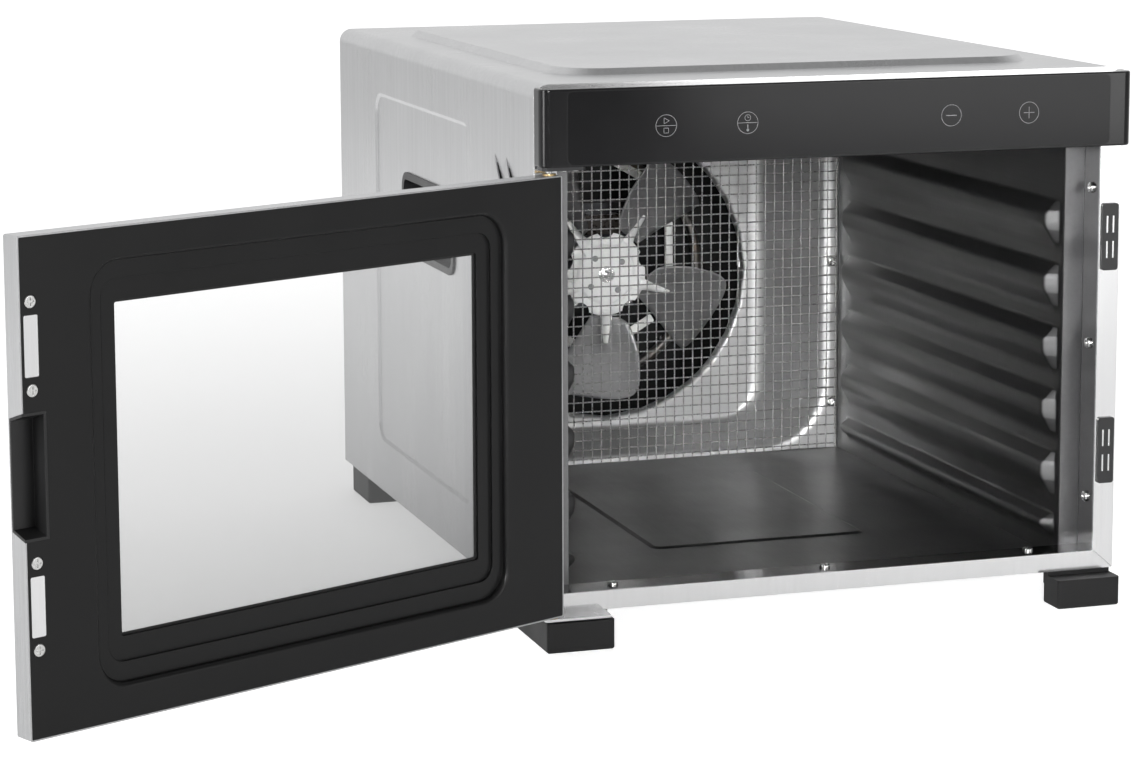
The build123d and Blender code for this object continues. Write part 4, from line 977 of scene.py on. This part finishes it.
def glowing(finish, strength, fade=None):
    """The finish's own surface with an even glow added, faded out by a field if there is one."""
    glow = finish.add("Emission", {"Color": (1.0, 1.0, 1.0, 1.0), "Strength": strength})
    if fade is not None:
        finish.tree.links.new(fade, glow.inputs["Strength"])
    return finish.add("AddShader", {0: finish.surface.outputs[0], 1: glow.outputs[0]}).outputs[0]


def floor():
    """A plain pale floor past every view; its bright part reaches a short way round the cabinet."""
    pale = Finish("studio_floor", (0.6, 0.6, 0.6), 0.6)
    pale.gloss(pale.noise(0.4, detail=3.0), 0.55, 0.65)
    away = pale.add("VectorMath", {0: pale.space}, operation="LENGTH").outputs["Value"]
    near = pale.spread(away, LIGHT["floor"], 0.0, (1.6, 2.8))
    depth = pale.add("SeparateXYZ", {"Vector": pale.space}).outputs["Y"]
    behind = pale.spread(depth, 0.0, LIGHT["floor_back"], (-0.2, 0.4))
    near = pale.add("Math", {0: near, 1: behind}, operation="ADD").outputs[0]
    shown = seen_by_camera(pale.tree, glowing(pale, 0.8), glowing(pale, 0.0, near))
    out = next(n for n in pale.tree.nodes if n.type == "OUTPUT_MATERIAL")
    pale.tree.links.new(shown, out.inputs["Surface"])
    mesh = bpy.data.meshes.new("studio_floor")
    reach = 12.0
    corners = [(-reach, -reach, 0), (reach, -reach, 0), (reach, reach, 0), (-reach, reach, 0)]
    mesh.from_pydata(corners, [], [(0, 1, 2, 3)])
    mesh.materials.append(pale.material)
    made = bpy.data.objects.new("studio_floor", mesh)
    bpy.context.scene.collection.objects.link(made)
    made.location.z = cad_low.z - 0.0004
    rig.stage(made)


def softbox(name, place, target, width, height, spread=180.0):
    """A rectangular area light at place, turned to the target, that the camera doesn't see."""
    data = bpy.data.lights.new(name, "AREA")
    data.shape = "RECTANGLE"
    data.size = width
    data.size_y = height
    data.energy = LIGHT[name]
    data.spread = radians(spread)
    made = bpy.data.objects.new(name, data)
    made.location = place
    made.rotation_euler = (Vector(target) - Vector(place)).to_track_quat("-Z", "Y").to_euler()
    made.visible_camera = False
    bpy.context.scene.collection.objects.link(made)


def room_light(tree):
    """A dim room that is bright behind the cabinet, as in front of a white backdrop."""
    direction = tree.nodes.new("ShaderNodeTexCoord").outputs["Generated"]
    base = tree.nodes.new("ShaderNodeValue")
    base.outputs[0].default_value = LIGHT["base"]
    total = base.outputs[0]
    for side, axis, start, end in (
        ("back", (0.0, 1.0, 0.0), -0.1, 0.5),
        ("top", (0.0, 0.0, 1.0), 0.45, 0.95),
        ("front_right", (0.707, -0.707, 0.0), 0.86, 0.97),
    ):
        along = tree.nodes.new("ShaderNodeVectorMath")
        along.operation = "DOT_PRODUCT"
        along.inputs[1].default_value = axis
        tree.links.new(direction, along.inputs[0])
        ramp = tree.nodes.new("ShaderNodeMapRange")
        ramp.interpolation_type = "SMOOTHSTEP"
        ramp.inputs["From Min"].default_value = start
        ramp.inputs["From Max"].default_value = end
        ramp.inputs["To Max"].default_value = LIGHT[side]
        tree.links.new(along.outputs["Value"], ramp.inputs["Value"])
        add = tree.nodes.new("ShaderNodeMath")
        tree.links.new(total, add.inputs[0])
        tree.links.new(ramp.outputs[0], add.inputs[1])
        total = add.outputs[0]
    room = tree.nodes.new("ShaderNodeBackground")
    tree.links.new(total, room.inputs["Strength"])
    return room.outputs[0]


def studio_light():
    world = bpy.data.worlds.new("studio")
    world.use_nodes = True
    tree = world.node_tree
    back = tree.nodes["Background"]
    back.inputs["Color"].default_value = (1.0, 1.0, 1.0, 1.0)
    shown = seen_by_camera(tree, back.outputs[0], room_light(tree))
    tree.links.new(shown, tree.nodes["World Output"].inputs["Surface"])
    bpy.context.scene.world = world
    softbox("left_strip", (-1.6, -0.6, 0.8), (0.0, -0.1, 0.2), 0.5, 1.6)
    softbox("right_front", (1.15, -2.1, 0.38), (0.1, -0.2, 0.2), 1.1, 0.7)
    softbox("left_front", (-0.55, -1.7, 0.5), (0.15, 0.0, 0.14), 0.4, 0.4, spread=24.0)
    softbox("pan_spot", (0.30, -1.95, 0.14), (-0.02, 0.15, 0.13), 0.2, 0.2, spread=9.0)
    bpy.context.scene.view_settings.view_transform = "Standard"


floor()
studio_light()


# ---- Sizes ------------------------------------------------------------------------------------------
def write_sizes():
    """The CAD box and the visual model's box, to compare."""
    low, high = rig.bounds()
    sizes = {"cad": [list(cad_low), list(cad_high)], "visual": [list(low), list(high)]}
    with open("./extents.json", "w") as file:
        json.dump(sizes, file, indent=1)


write_sizes()
